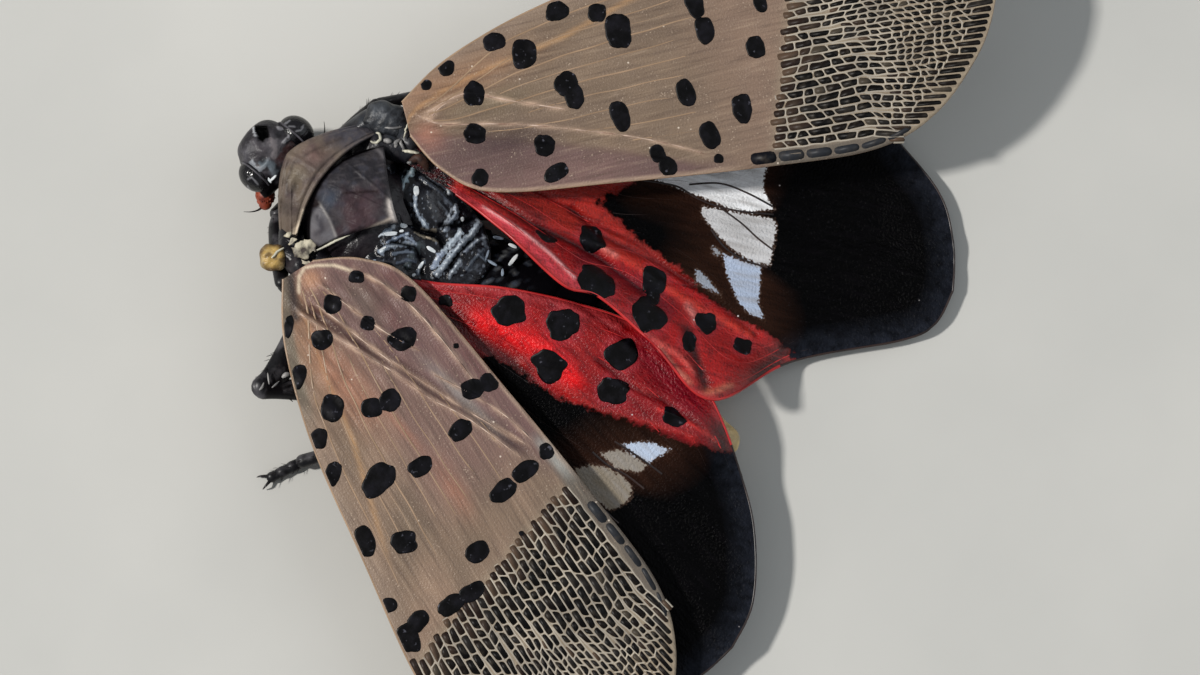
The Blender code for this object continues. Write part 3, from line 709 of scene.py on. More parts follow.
def build_forewing(side):
    wing = FOREWINGS[side]

    def outline_place(across, along):
        plan = spline(FOREWING_LEADING, along)
        plan = plan + (spline(FOREWING_TRAILING, along) - plan) * across[:, None]
        return forewing_points(wing, *plan.T)

    def surface(along, across, lift=0.0):
        return forewing_points(wing, along, across, lift)

    name = "forewing_" + side
    skin = thin_sheet(name, outline_place, FOREWING_HALF, *FOREWING_GRID, tegmen)
    along, across = from_wing(wing, *corners_mm(skin).T[:2])
    give_places(skin, "wing", np.stack((along, across, 0 * along), -1))
    give_colours(skin, "tint", forewing_colours(wing, side, along, across))
    hang(skin, "forewing", name)

    outlines = []
    for number, spot in enumerate(wing["spots"]):
        spot_along, spot_across = spot_outline(*spot, seed=number)
        lead, trail = forewing_edges(spot_along)
        outlines.append((spot_along, np.clip(spot_across, lead + 0.06, trail - 0.06)))
    hang(lens_piece(name + "_spots", outlines, surface, FOREWING_HALF, SPOT_RISE, velvet_black), "forewing",
         name)

    pick = np.random.default_rng(21 if side == "right" else 34)
    start_at, start_slope = wing["net_start"]
    lines, tiles, tile_tints = [], [], []
    fine = np.arange(10.5, FOREWING_LENGTH, 0.02)
    lead, trail = forewing_edges(fine)
    lead_room = lead + 0.1
    trail_room = trail - np.where(fine < 16.2, 0.46, 0.1) + 0.36 * rising(16.2, 16.9, fine) * (fine < 16.9)
    shares = [net_share(line, fine) for line in range(NET_ROWS_OUTER + 1)]
    widths = [net_across(fine, share) + 0.018 * ripple(fine, share * 30, 1.1, 4) for share in shares]
    inside = [(width > lead_room) & (width < trail_room) & (fine > start_at + start_slope * width + 0.12)
              for width in widths]
    for line, (width, room) in enumerate(zip(widths, inside)):
        if line:
            apart = width - widths[line - 1] > 0.05
            apart = apart | np.roll(apart, -6)
            room = room & apart
        keep = np.flatnonzero(room)
        if len(keep) < 12:
            continue
        keep = keep[::6]
        radius = VEIN_RADIUS * (1 - 0.3 * rising(16, 19, fine[keep]))
        lines.append((surface(fine[keep], width[keep]), radius))
    for row in range(NET_ROWS_OUTER):
        low, high = widths[row], widths[row + 1]
        middle = (low + high) / 2
        gap = high - low
        room = (middle > lead_room + 0.04) & (middle < trail_room - 0.04) & (gap > 0.12)
        room = room & (fine > start_at + start_slope * middle - 0.2)
        keep = np.flatnonzero(room)
        if len(keep) < 20:
            continue
        first, last = fine[keep[0]], fine[keep[-1]]
        here, number, lean = first + pick.uniform(0, 0.3), 0, 0.0
        ends = np.array((here, here))
        lines.append((surface(ends, np.array((np.interp(here, fine, low), np.interp(here, fine, high)))),
                      VEIN_RADIUS * 0.8))
        while here < last - 0.12:
            outward = rising(14.3, 17.3, here)
            length = pick.uniform(0.34, 0.85) * (1 - outward) + pick.uniform(0.24, 0.46) * outward
            if here > last - 1.0:
                length = last - here
            end = min(here + length, last)
            next_lean = pick.uniform(-0.09, 0.09) if end < last - 0.05 else 0.0
            if end - here > 0.16:
                tiles.append(brick(here + CELL_INSET, end - CELL_INSET,
                                   lambda along: np.interp(along, fine, low) + CELL_INSET,
                                   lambda along: np.interp(along, fine, high) - CELL_INSET,
                                   leans=(lean, next_lean)))
                dark = pick.choice(4, p=(0.6, 0.22, 0.14, 0.04))
                tone = (paint(14, 11, 10), paint(26, 20, 17), paint(38, 35, 33), paint(70, 63, 54))[dark]
                if number == 0:
                    tone = paint(82, 66, 54) if pick.random() < 0.4 else paint(42, 31, 26)
                elif number == 1 and pick.random() < 0.4:
                    tone = paint(54, 43, 36)
                tile_tints.append(tone)
            if end < last - 0.05:
                ends = np.array((end - next_lean, end + next_lean))
                bounds = np.array((np.interp(end, fine, low), np.interp(end, fine, high)))
                lines.append((surface(ends, bounds), VEIN_RADIUS * 0.9))
            here, number, lean = end, number + 1, next_lean
    for number, place in enumerate(np.arange(start_at - 2.2, 16.6, 0.98)):
        if number > 1 or side == "right":
            deep = 0.42 - 0.05 * number
            tiles.append(brick(place, place + 0.9, lambda along: forewing_edges(along)[1] - 0.1 - deep,
                               lambda along: forewing_edges(along)[1] - 0.1, 0.16))
            tile_tints.append(paint(20, 20, 26) if number == 0 else paint(46, 48, 52))
    points, faces = [], []
    for tile_along, tile_across in tiles:
        first, count = len(points), len(tile_along)
        for lift in (FOREWING_HALF + 0.004, -FOREWING_HALF - 0.004):
            points.extend(surface(tile_along, tile_across, lift))
        faces.append(tuple(range(first, first + count)))
        faces.append(tuple(range(first + 2 * count - 1, first + count - 1, -1)))
        faces.extend((first + i, first + count + i, first + count + (i + 1) % count, first + (i + 1) % count)
                     for i in range(count))
    cells = shut_form(name + "_cells", points, faces, net_cell, merge=0.0)
    give_colours(cells, "tint", np.repeat(np.array(tile_tints), 24, axis=0))
    hang(cells, "forewing", name)

    hang(tube_piece(name + "_net", lines, vein_cream), "forewing", name)

    x, y = spline(FOREWING_LEADING, steps(150)).T
    ribs = [(surface(x, y + 0.02), 0.04)]
    x, y = spline(FOREWING_TRAILING, steps(150)).T
    ribs.append((surface(x, y - 0.02), 0.034 - 0.008 * rising(10, 13, x)))
    for share, begin, stop, radius in FOREWING_RIBS:
        rib_along = np.arange(begin, stop, 0.25)
        root = falling(0, 4.5, rib_along)
        rib_share = share + (0.42 - share) * root * 0.55
        low, high = forewing_edges(rib_along)
        rib_across = low + (high - low) * rib_share + 0.03 * ripple(rib_along, share * 20, 3.0, 6)
        taper = 0.4 * rising(0.6, 1.0, (rib_along - begin) / (stop - begin))
        ribs.append((surface(rib_along, rib_across), radius * (1 - taper)))
    hang(tube_piece(name + "_ribs", ribs, vein_tan), "forewing", name)
    # Painted highlights: thin pale tubes along the fold crests.
    creases = []
    for number, (path, _, _) in enumerate(wing["ridges"]):
        line = spline(path, steps(90))
        thin = 0.014 + 0.016 * ripple(line[:, 0], line[:, 1] * 3, 0.8, number + 80)
        creases.append((surface(*line.T, 0.025), np.clip(thin, 0.004, 0.03)))
    hang(tube_piece(name + "_creases", creases, crease_highlight, 5), "forewing", name)


build_forewing("right")
build_forewing("left")


# Hindwings: thin red wings that fold like fans under the forewings. Black blotches lie on the red, white
# windows cross the middle, and the outer half is black with a painted blue sheen at its rim.
HINDWING_ROOT_Z = 3.15
HINDWING_HALF = 0.03
HINDWING_GRID = (120, 190)
CREST_START_Y = (-2.5, 2.5)
CREST_END_Y = (10.6, 13.4)
HINDWING_LEADING = [(0.0, -0.4), (3.5, -2.0), (7.5, -3.9), (12.0, -5.3), (15.2, -5.3), (17.4, -4.0)]
# Each fold is a path of (along, across) points, its half width, its rise, its colour and how much of it; some
# colours are painted shade, painted shadows and painted highlights, as marked
HINDWINGS = {
    "right": {
        "side": -1.0,
        "hinge": (-2.97, -2.97),
        "angle": 20.0, "rim_z": 0.55, "reach": 17.0, "power": 1.3, "crest_x": -1.0, "crest": 2.46,
        "crest_width": 2.2,
        "leading": HINDWING_LEADING + [(19.0, -2.55), (19.75, -0.85), (20.0, 0.6)],
        "inner": [(0.0, 0.7), (1.84, 1.4), (3.67, 2.4), (6.1, 3.85), (7.5, 3.95), (9.6, 5.1), (12.1, 6.6),
                  (14.8, 4.35), (18.5, 2.75), (19.6, 1.9), (20.0, 0.6)],
        "folds": [
            # The first three folds are grooves darkened with painted shade.
            ([(2.4, 1.0), (3.36, 1.37), (4.66, 1.88), (6.18, 2.14), (7.25, 2.43), (8.36, 2.95), (8.98, 3.26)],
             0.15, -0.24, (44, 4, 8), 1.0),
            ([(4.02, 0.5), (5.52, 0.8), (7.07, 1.22), (8.43, 1.5), (9.62, 2.05), (10.85, 2.6)], 0.1, -0.1,
             (112, 10, 12), 0.8),
            ([(5.96, 0.88), (7.22, 1.59), (8.41, 1.85), (10.07, 2.22), (11.54, 2.77), (13.31, 3.71)], 0.11,
             -0.14, (92, 8, 12), 0.85),
            ([(7.0, 1.9), (8.75, 2.4), (10.21, 3.01), (11.66, 3.44), (13.09, 3.77)], 0.15, 0.1, (222, 66, 50),
             0.7),
            # The next two are painted highlights along the rolled inner strip.
            ([(1.9, 1.4), (3.48, 2.08), (4.57, 2.66), (5.83, 3.4), (6.81, 3.9)], 0.2, 0.07, (222, 72, 84),
             0.85),
            ([(2.9, 1.7), (4.15, 2.2), (5.48, 2.85), (6.49, 3.5)], 0.07, 0.09, (244, 176, 176), 0.85),
            ([(6.6, 2.64), (7.78, 2.88), (8.84, 3.05), (10.08, 3.66)], 0.3, -0.06, (112, 16, 32), 0.85),
            ([(7.2, 2.02), (7.5, 2.12), (7.8, 2.2)], 0.12, 0.08, (236, 132, 122), 0.85),
            ([(10.7, 3.35), (10.95, 3.6), (11.05, 3.8)], 0.13, 0.06, (234, 136, 128), 0.8),
            # Painted shadow of the forewing on the red.
            ([(1.6, 0.3), (3.4, 1.0), (4.9, 1.6)], 0.28, 0.0, (40, 10, 22), 0.6),
            # Painted highlight along the inner edge.
            ([(9.4, 4.9), (10.0, 5.1), (10.7, 5.35), (11.3, 5.8)], 0.1, 0.1, (224, 92, 84), 0.85),
            ([(9.97, 5.3), (10.6, 5.85), (11.2, 6.2)], 0.09, 0.08, (236, 168, 136), 0.85),
            # A painted shadow patch.
            ([(10.85, 4.3), (11.15, 4.95), (11.5, 5.6), (11.8, 6.2)], 0.22, -0.18, (30, 5, 8), 0.95),
            ([(11.8, 6.45), (12.2, 6.3), (12.7, 5.9)], 0.12, 0.05, (196, 116, 92), 0.8),
        ],
        "dark_edge": [(-5.5, 10.0), (-4.0, 9.2), (-2.5, 8.6), (-0.8, 8.2), (-0.4, 7.7), (0.1, 7.2),
                      (0.5, 6.8), (0.65, 7.2), (0.8, 7.75), (1.0, 7.8), (1.38, 8.6), (1.67, 9.2), (1.9, 9.9),
                      (2.3, 10.6), (2.7, 11.1), (2.9, 11.5), (3.2, 12.5), (3.5, 13.5), (3.9, 14.5),
                      (4.3, 15.0), (7.0, 15.6)],
        "windows": [
            # The first window's near-white is pushed brighter as painted light, to offset the forewing's
            # shadow on it.
            ([(8.54, -0.9), (9.0, -2.2), (10.2, -4.2), (11.0, -5.6), (13.2, -5.6), (12.7, -3.5),
              (12.5, -1.95), (12.57, -1.45), (12.87, -1.07), (13.1, -0.87), (12.23, -0.56), (11.56, -0.5),
              (10.74, -0.62), (10.03, -0.72), (9.45, -0.8)],
             (250, 252, 255)),
            ([(10.5, -0.33), (11.38, -0.4), (12.26, -0.45), (13.2, -0.5), (13.32, -0.15), (13.33, 0.52),
              (13.35, 1.16), (12.94, 1.18), (12.4, 1.1), (11.9, 0.89), (11.4, 0.62), (10.95, 0.27),
              (10.6, 0.0)],
             (206, 206, 208)),
            ([(11.6, 1.12), (12.4, 1.24), (13.05, 1.28), (13.16, 2.03), (13.2, 2.59), (13.52, 3.12),
              (12.97, 3.06), (12.5, 2.74), (12.15, 2.24), (11.85, 1.75)],
             (176, 190, 214)),
            ([(10.73, 1.91), (11.0, 1.98), (11.3, 2.2), (11.85, 2.66), (11.1, 2.45), (10.86, 2.38)],
             (150, 160, 176)),
            ([(11.15, 0.95), (11.5, 1.05), (11.5, 1.3), (11.25, 1.2)], (140, 146, 156)),
        ],
        "window_veins": [
            [(8.2, -0.75), (9.44, -0.84), (10.17, -0.62), (10.88, -0.5), (11.79, -0.5), (13.11, -0.68)],
            [(11.0, 0.4), (11.61, 0.9), (12.36, 1.17), (13.28, 1.24)],
            [(11.2, -0.45), (12.0, -0.1), (12.7, 0.3), (13.4, 0.62)],
            [(9.9, -1.0), (11.0, -1.3), (12.0, -1.2), (13.0, -0.95)],
        ],
        "spots": [(5.23, 2.22, 0.42, 0.2, 20), (6.87, 1.81, 0.52, 0.46, 60), (7.29, 3.41, 0.74, 0.56, 20),
                  (9.34, 2.75, 0.56, 0.46, 80), (9.34, 4.14, 0.66, 0.6, 60), (9.4, 3.4, 0.3, 0.28, 80),
                  (11.46, 3.8, 0.44, 0.38, 60), (10.95, 4.7, 0.42, 0.26, 85), (12.92, 4.3, 0.36, 0.32, 0)],
        "root_red": paint(172, 44, 34),
        "red_from": 1.85,
        "brown_end": [(13.7, 5.2), (14.2, 4.5), (14.5, 3.9)],
    },
    "left": {
        "side": 1.0,
        "hinge": (2.41, -2.97),
        "angle": 12.0, "rim_z": 1.4, "reach": 19.0, "power": 1.0, "crest_x": -0.2, "crest": 0.66,
        "crest_width": 2.2,
        "leading": HINDWING_LEADING + [(18.6, -2.5), (19.1, -0.9), (19.2, 0.5)],
        "inner": [(0.0, 0.7), (2.57, 2.08), (4.62, 3.74), (6.4, 4.96), (8.5, 6.1), (10.6, 6.6), (12.4, 6.3),
                  (14.8, 5.3), (16.8, 4.1), (18.6, 2.2), (19.2, 0.5)],
        "folds": [
            # Painted shadow of the forewing on the red near the root.
            ([(3.0, 1.6), (4.2, 1.8), (5.2, 2.0), (6.64, 2.15), (7.4, 2.2)], 0.34, -0.04, (34, 6, 9), 0.95),
            ([(4.91, 2.5), (5.9, 2.8), (7.2, 3.3), (8.63, 3.25)], 0.42, 0.05, (236, 14, 22), 0.9),
            ([(6.94, 2.45), (8.23, 2.68), (10.06, 3.15), (11.79, 4.1), (13.16, 4.8)], 0.13, 0.12,
             (170, 40, 36), 0.6),
            # A groove darkened with painted shade.
            ([(8.86, 4.4), (10.32, 4.5), (11.42, 4.95), (12.94, 5.2), (13.61, 5.2)], 0.11, -0.13, (84, 8, 14),
             0.8),
            ([(9.6, 5.9), (10.26, 5.7), (11.17, 5.65), (12.31, 5.64)], 0.42, -0.03, (128, 20, 40), 0.7),
            ([(11.54, 4.6), (12.46, 5.0), (13.22, 5.15), (13.89, 5.3)], 0.07, 0.08, (226, 60, 56), 0.7),
            # Painted highlight along the inner edge.
            ([(0.8, 0.9), (2.57, 1.95), (4.09, 3.2), (4.9, 3.85), (6.3, 4.75), (8.5, 5.75)], 0.17, 0.08,
             (178, 62, 66), 0.7),
            # A groove darkened with painted shade.
            ([(7.06, 5.3), (8.66, 5.55), (9.81, 5.9)], 0.1, -0.08, (104, 10, 22), 0.7),
        ],
        "dark_edge": [(0.0, -5.0), (4.0, -1.5), (5.3, 0.6), (6.1, 1.9), (7.3, 2.2), (8.3, 2.34), (9.17, 2.6),
                      (10.43, 3.3), (11.55, 3.83), (13.16, 4.5), (13.9, 4.98), (14.6, 5.5), (19.2, 8.0)],
        "windows": [
            ([(11.47, 2.86), (11.8, 3.3), (12.15, 3.62), (12.84, 3.92), (12.7, 3.5), (12.62, 3.08),
              (12.0, 2.92)],
             (184, 198, 220)),
            ([(11.15, 2.1), (11.48, 2.62), (11.95, 2.82), (12.6, 2.96), (12.6, 2.59), (11.92, 2.12)],
             (140, 132, 122)),
            ([(10.86, 1.1), (11.2, 1.6), (11.6, 1.9), (12.3, 2.08), (12.75, 2.05), (13.0, 1.71), (12.9, 1.2),
              (12.75, 0.9), (12.0, 0.85), (11.3, 0.9)],
             (132, 122, 108)),
            ([(10.9, 0.7), (10.3, -1.5), (10.6, -5.5), (13.0, -5.5), (12.7, -1.8), (12.5, 0.6)],
             (198, 198, 200)),
        ],
        "window_veins": [
            [(10.6, 0.75), (11.6, 0.8), (12.7, 0.78), (13.3, 0.8)],
            [(10.9, 1.95), (11.6, 2.0), (12.3, 2.2), (13.1, 2.3)],
            [(11.2, 2.75), (11.9, 2.9), (12.6, 3.02), (13.2, 3.1)],
        ],
        "spots": [(3.54, 2.1, 0.26, 0.2, 30), (5.39, 3.38, 0.6, 0.54, 60), (7.06, 4.38, 0.62, 0.54, 70),
                  (9.27, 5.1, 0.62, 0.52, 70), (7.72, 3.0, 0.62, 0.52, 15), (9.94, 3.95, 0.56, 0.48, 20),
                  (12.11, 4.78, 0.46, 0.3, 10)],
        # Painted shadow: the left wing's root is a dark red where the forewing shades it.
        "root_red": paint(110, 12, 14),
        "red_from": 2.4,
        "brown_end": [(13.7, 5.6), (14.0, 5.35), (14.3, 5.1)],
    },
}


def hindwing_height(wing, along, across):
    """It slopes from the root to the rim, rises over the abdomen and is pleated along its folds."""
    x, y = on_wing(wing, along, across)
    outward = np.maximum(0.0, 1 - np.hypot(along, across) / wing["reach"])
    z = wing["rim_z"] + (HINDWING_ROOT_Z - wing["rim_z"]) * outward ** wing["power"]
    lift = rising(*CREST_START_Y, y) * falling(*CREST_END_Y, y)
    z = z + wing["crest"] * lift * np.exp(-(((x - wing["crest_x"]) / wing["crest_width"]) ** 2))
    for path, width, rise, _, _ in wing["folds"]:
        z = z + rise * beside(path, width, along, across)
    fan = np.arctan2(across, along + 3.0)
    z = z + 0.05 * np.sin(fan * 46) * rising(2, 6, along) * falling(17.5, 19.5, along)
    return z + 0.03 * ripple(along * 0.6, across, 1.6, 12) * rising(1, 3, along)


def outline_depth(outline, x, y):
    """How deep each place lies inside a closed outline, in mm; outside it is below zero."""
    inside = np.zeros(np.shape(x), bool)
    for (x0, y0), (x1, y1) in zip(outline, outline[1:] + outline[:1]):
        inside ^= ((y0 > y) != (y1 > y)) & (x < (x1 - x0) * (y - y0) / ((y1 - y0) or 1e-9) + x0)
    nearest = off_path(outline + outline[:1], x, y)
    return np.where(inside, nearest, -nearest)


def dark_depth(wing, side, along, across):
    """How deep each place lies in the black and brown part of the wing, in mm."""
    places, edge = zip(*wing["dark_edge"])
    if side == "right":
        return (along - np.interp(across, places, edge)) * 0.9
    return (np.interp(along, places, edge) - across) * 1.8


def hindwing_colours(wing, side, along, across):
    """The red of the wing: painted shade in its grooves, painted highlights on some ridges, painted forewing
    shadows, and pink round its blotches.
    """
    base = coat(len(along), paint(172, 8, 16))
    base = tinted(base, 0.5 + 0.6 * ripple(along * 0.6, across, 2.6, 9), paint(142, 10, 18))
    if side == "right":
        base = tinted(base, 0.85 * falling(0.9, 1.7, across - 0.1 * along), wing["root_red"])
        base = tinted(base, 0.6 * rising(9.5, 11.5, along) * rising(2.8, 3.4, across), paint(176, 34, 32))
    else:
        # Painted shadow of the forewing: the root side turns dark red.
        base = tinted(base, 0.9 * falling(1.5, 2.3, across), wing["root_red"])
        base = tinted(base, 0.5 * rising(9.0, 11.0, along), paint(128, 14, 30)) * (0.74, 0.74, 0.74, 1.0)
    for spot_along, spot_across, long_half, short_half, _ in wing["spots"]:
        away = np.hypot(along - spot_along, across - spot_across) / (long_half + short_half)
        base = tinted(base, 0.5 * bell(away - 0.55, 0.12), paint(166, 52, 62))
    # Fold colours, among them painted shade, painted shadows and painted highlights as marked in the table.
    for path, width, _, colour, share in wing["folds"]:
        base = tinted(base, share * beside(path, width, along, across), paint(*colour))
    inner = edge_across(wing["inner"], along)
    base = layered(
        base,
        (0.6 * falling(0.1, 0.3, inner - across), (160, 54, 58)),
        (0.95 * beside(wing["brown_end"], 0.5, along, across), (58, 44, 42)))
    return tinted(base, falling(wing["red_from"] - 0.25, wing["red_from"],
                                along + 0.1 * ripple(across, along, 0.4, 3)), paint(24, 20, 23))


red_membrane, add, feed = new_finish("red_membrane", 0.4, 0.5)
place = read(add, "wing", "Vector")
zones = add("ShaderNodeSeparateXYZ", {"Vector": read(add, "zones", "Vector")})
tint = read(add, "tint")
window_tint = read(add, "window")
drawn_out = add("ShaderNodeMapping", {"Vector": place, "Scale": (0.7, 4.5, 1.0)}).outputs[0]
streaks = noise(add, drawn_out, 1.0, 4.0, 0.55)
ragged = noise(add, place, 2.6, 6.0, 0.65)
fine = noise(add, place, 11.0, 4.0)
colour = flecked(add, tint, streaks, 0.55, 0.8, 0.4, paint(216, 56, 52))
colour = flecked(add, colour, streaks, 0.47, 0.25, 0.8, paint(78, 4, 10))
colour = flecked(add, colour, fine, 0.6, 0.8, 0.2, paint(226, 84, 74))
colour = flecked(add, colour, ragged, 0.5, 0.36, 0.55, paint(92, 6, 18))
frayed = combined(add, zones.outputs["X"], remap(add, ragged, 0.3, 0.7, -0.35, 0.35), "ADD")
black_and_rim_sheen = flecked(add, paint(5, 4, 6), streaks, 0.5, 0.8, 0.7, paint(17, 15, 18))
black_and_rim_sheen = flecked(add, black_and_rim_sheen, fine, 0.64, 0.82, 0.6, paint(50, 50, 56))
# Painted sheen: the black turns blue-grey towards the rim.
rim_sheen_share = combined(add, remap(add, zones.outputs["Z"], 1.1, 0.1, 0.0, 1.0),
                     remap(add, ragged, 0.35, 0.65, 0.25, 1.0))
black_and_rim_sheen = mix_colours(add, rim_sheen_share, black_and_rim_sheen, paint(38, 41, 49))
colour = flecked(add, colour, frayed, -0.3, 0.05, 0.8, paint(58, 20, 16))
near_pane = combined(add, remap(add, zones.outputs["Y"], -1.6, -0.1, 0.0, 0.85),
                     remap(add, zones.outputs["X"], 4.6, 3.6))
black_and_rim_sheen = mix_colours(add, near_pane, black_and_rim_sheen, mix_colours(add, streaks, paint(20, 13, 12), paint(62, 40, 30)))
colour = flecked(add, colour, frayed, -0.05, 0.12, 1.0, black_and_rim_sheen)
feed(remap(add, frayed, -0.2, 0.1, 0.38, 0.05), "Specular IOR Level")
window_edge = combined(add, zones.outputs["Y"], remap(add, fine, 0.3, 0.7, -0.07, 0.07), "ADD")
pane = flecked(add, window_tint, streaks, 0.4, 0.7, 0.6, paint(150, 146, 144))
colour = flecked(add, colour, window_edge, -0.08, 0.0, 0.8, paint(84, 66, 56))
colour = flecked(add, colour, window_edge, -0.01, 0.03, 1.0, pane)
# Painted glints: a few small pale dots, also on the black.
glint_cells = add("ShaderNodeTexVoronoi", {"Vector": place, "Scale": 1.9}, feature="F1")
glint_pick = add("ShaderNodeSeparateColor", {"Color": glint_cells.outputs["Color"]}).outputs[0]
glint_share = combined(add, remap(add, glint_cells.outputs["Distance"], 0.07, 0.03), remap(add, glint_pick, 0.86, 0.88))
colour = mix_colours(add, glint_share, colour, paint(214, 206, 206))
feed(colour, "Base Color")
feed(remap(add, ragged, 0.3, 0.7, 0.24, 0.42), "Roughness")
relief = combined(add, streaks, remap(add, fine, 0.3, 0.7, 0.0, 0.4), "ADD")
feed_bump(add, feed, relief, 0.8, 0.00007)


vein_red = mottled_finish("vein_red", 0.35, (196, 50, 50), (148, 20, 24), 700.0)
vein_dark = mottled_finish("vein_dark", 0.35, (50, 36, 32), (22, 18, 20), 700.0)


def build_hindwing(side):
    wing = HINDWINGS[side]

    def surface(along, across, lift=0.0):
        x, y = on_wing(wing, along, across)
        return np.stack((x, y, hindwing_height(wing, along, across) + lift), -1)

    def outline_place(across, along):
        plan = spline(wing["leading"], along)
        plan = plan + (spline(wing["inner"], along) - plan) * across[:, None]
        return surface(*plan.T)

    name = "hindwing_" + side
    skin = thin_sheet(name, outline_place, HINDWING_HALF, *HINDWING_GRID, red_membrane)
    along, across = from_wing(wing, *corners_mm(skin).T[:2])
    depths = [outline_depth(outline, along, across) for outline, _ in wing["windows"]]
    deepest = np.argmax(depths, axis=0)
    margin = outline_depth([tuple(p) for p in spline(wing["leading"], steps(60))]
                           + [tuple(p) for p in spline(wing["inner"], np.linspace(1, 0, 60))], along, across)
    dark = dark_depth(wing, side, along, across)
    give_places(skin, "wing", np.stack((along, across, 0 * along), -1))
    give_places(skin, "zones", np.stack((dark, np.max(depths, axis=0), margin), -1))
    give_colours(skin, "tint", hindwing_colours(wing, side, along, across))
    give_colours(skin, "window", np.array([paint(*colour) for _, colour in wing["windows"]])[deepest])
    hang(skin, "hindwing", name)

    outlines = [spot_outline(*spot, seed=n + 60, sides=48, rough=1.7) for n, spot in enumerate(wing["spots"])]
    hang(lens_piece(name + "_spots", outlines, surface, HINDWING_HALF, SPOT_RISE, velvet_black), "hindwing",
         name)

    red_lines, dark_lines = [], []
    for share in np.linspace(0.06, 0.94, 12):
        reach = np.linspace(0.08, 0.985, 90)
        low, high = spline(wing["leading"], reach), spline(wing["inner"], reach)
        plan = low + (high - low) * (share + 0.012 * ripple(reach * 20, share * 40, 5.0, 2))[:, None]
        room = dark_depth(wing, side, *plan.T) > 0
        radius = 0.036 - 0.01 * reach
        for group, keep in ((dark_lines, room), (red_lines, ~room)):
            runs = np.split(np.arange(len(reach)), np.flatnonzero(np.diff(keep.astype(int))) + 1)
            for run in runs:
                if keep[run[0]] and len(run) > 2:
                    group.append((surface(*plan[run].T), radius[run]))
    for path in wing["window_veins"]:
        line = spline(path, steps(40))
        dark_lines.append((surface(*line.T), 0.05))
    for edge in (wing["leading"], wing["inner"]):
        rim = spline(edge, steps(180))
        room = dark_depth(wing, side, *rim.T) > -0.7
        start = int(np.argmax(room)) if room.any() else len(rim)
        dark_lines.append((surface(*rim[start:].T), 0.045))
        red = slice(int(np.argmax(rim[:, 0] > wing["red_from"])), start + 1)
        red_lines.append((surface(*rim[red].T), 0.055))
    hang(tube_piece(name + "_red_veins", red_lines, vein_red), "hindwing", name)
    hang(tube_piece(name + "_dark_veins", dark_lines, vein_dark), "hindwing", name)


build_hindwing("right")
build_hindwing("left")


# Thorax: the hard dark trunk under the plates, where all the legs and wings are fixed. The pieces on top are
# the collar behind the head, the shield with its pale rim, and the black lobes between the wings.
THORAX_STATIONS = [(-6.12, 0, 1.8, 2.2, 0), (-6.05, 0, 1.4, 2.7, 1.0), (-5.3, -0.1, 1.2, 3.0, 1.35),
                   (-4.0, 0, 1.12, 3.38, 2.05), (-3.0, 0, 1.12, 3.38, 1.95), (-1.8, 0, 1.1, 3.1, 1.74),
                   (-0.85, 0, 1.0, 2.65, 1.6), (-0.75, 0, 1.2, 1.8, 0)]
PRONOTUM_CENTRE_X = -0.3
PRONOTUM_FRONT_Y = -6.52
PRONOTUM_REAR_Y = -4.97
PRONOTUM_HALF_WIDTH = 2.5
PRONOTUM_TOP = 4.0
MESONOTUM_FRONT_Y = -5.0
MESONOTUM_CORNER_Y = -3.85
MESONOTUM_APEX = (-0.25, -1.85)
MESONOTUM_HALF_WIDTH = 2.2
MESONOTUM_TOP = 4.28
PLATE_HALF = 0.2


def shell_finish(name, roughness, scale, fleck, bump=0.00005, specular=0.35, wax=0.0):
    """Chitin in the mesh's colours, with flecks, pits and thin wax. Colours with an alpha of 0 get none."""
    material, add, feed = new_finish(name, roughness, specular)
    attribute = add("ShaderNodeAttribute", {}, attribute_name="tint")
    tint, alpha = attribute.outputs["Color"], attribute.outputs["Alpha"]
    where = object_place(add)
    patches = noise(add, where, scale, 6.0, 0.62)
    grain = noise(add, where, scale * 5, 4.0)

    def fleck_on(colour, share, paler):
        share = combined(add, share, alpha)
        return mix_colours(add, share, colour, paler)

    colour = fleck_on(tint, remap(add, patches, 0.52, 0.75, 0.0, 0.75), fleck)
    colour = fleck_on(colour, remap(add, patches, 0.48, 0.28, 0.0, 0.6), paint(18, 15, 17))
    colour = fleck_on(colour, remap(add, grain, 0.55, 0.8, 0.0, 0.3), fleck)
    if wax:
        colour = fleck_on(colour, remap(add, patches, 0.6, 0.68, 0.0, wax), paint(158, 170, 186))
    feed(colour, "Base Color")
    feed(remap(add, alpha, 0.0, 1.0, 0.03, specular), "Specular IOR Level")
    feed(remap(add, patches, 0.3, 0.7, roughness - 0.1, roughness + 0.1), "Roughness")
    relief = combined(add, patches, remap(add, grain, 0.3, 0.7, 0.0, 0.35), "ADD")
    feed_bump(add, feed, relief, 0.7, bump)
    return material


def hull_form(stations, squareness, rings, sides):
    """Points and faces of a closed form along Y through stations of y, centre x, low, high and half width."""
    table = spline(stations, steps(rings))
    table[:, 4] = np.maximum(table[:, 4], 0)
    for end in (0, -1):
        table[end, 2] = table[end, 3] = (table[end, 2] + table[end, 3]) / 2
        table[end, 4] = 0
    angle = np.linspace(0, 2 * np.pi, sides, endpoint=False)
    wide = np.sign(np.cos(angle)) * np.abs(np.cos(angle)) ** (2 / squareness)
    tall = np.sign(np.sin(angle)) * np.abs(np.sin(angle)) ** (2 / squareness)
    y, centre, low, high, half = (table[:, i, None] for i in range(5))
    points = np.stack(np.broadcast_arrays(centre + half * wide, y + 0 * wide,
                                          (low + high) / 2 + (high - low) / 2 * tall), -1).reshape(-1, 3)
    return points, ring_faces(rings, sides)


def ring_faces(rings, sides):
    index = np.arange(rings * sides).reshape(rings, sides)
    beside = np.roll(index, -1, axis=1)
    return np.stack((index[:-1], beside[:-1], beside[1:], index[1:]), -1).reshape(-1, 4).tolist()


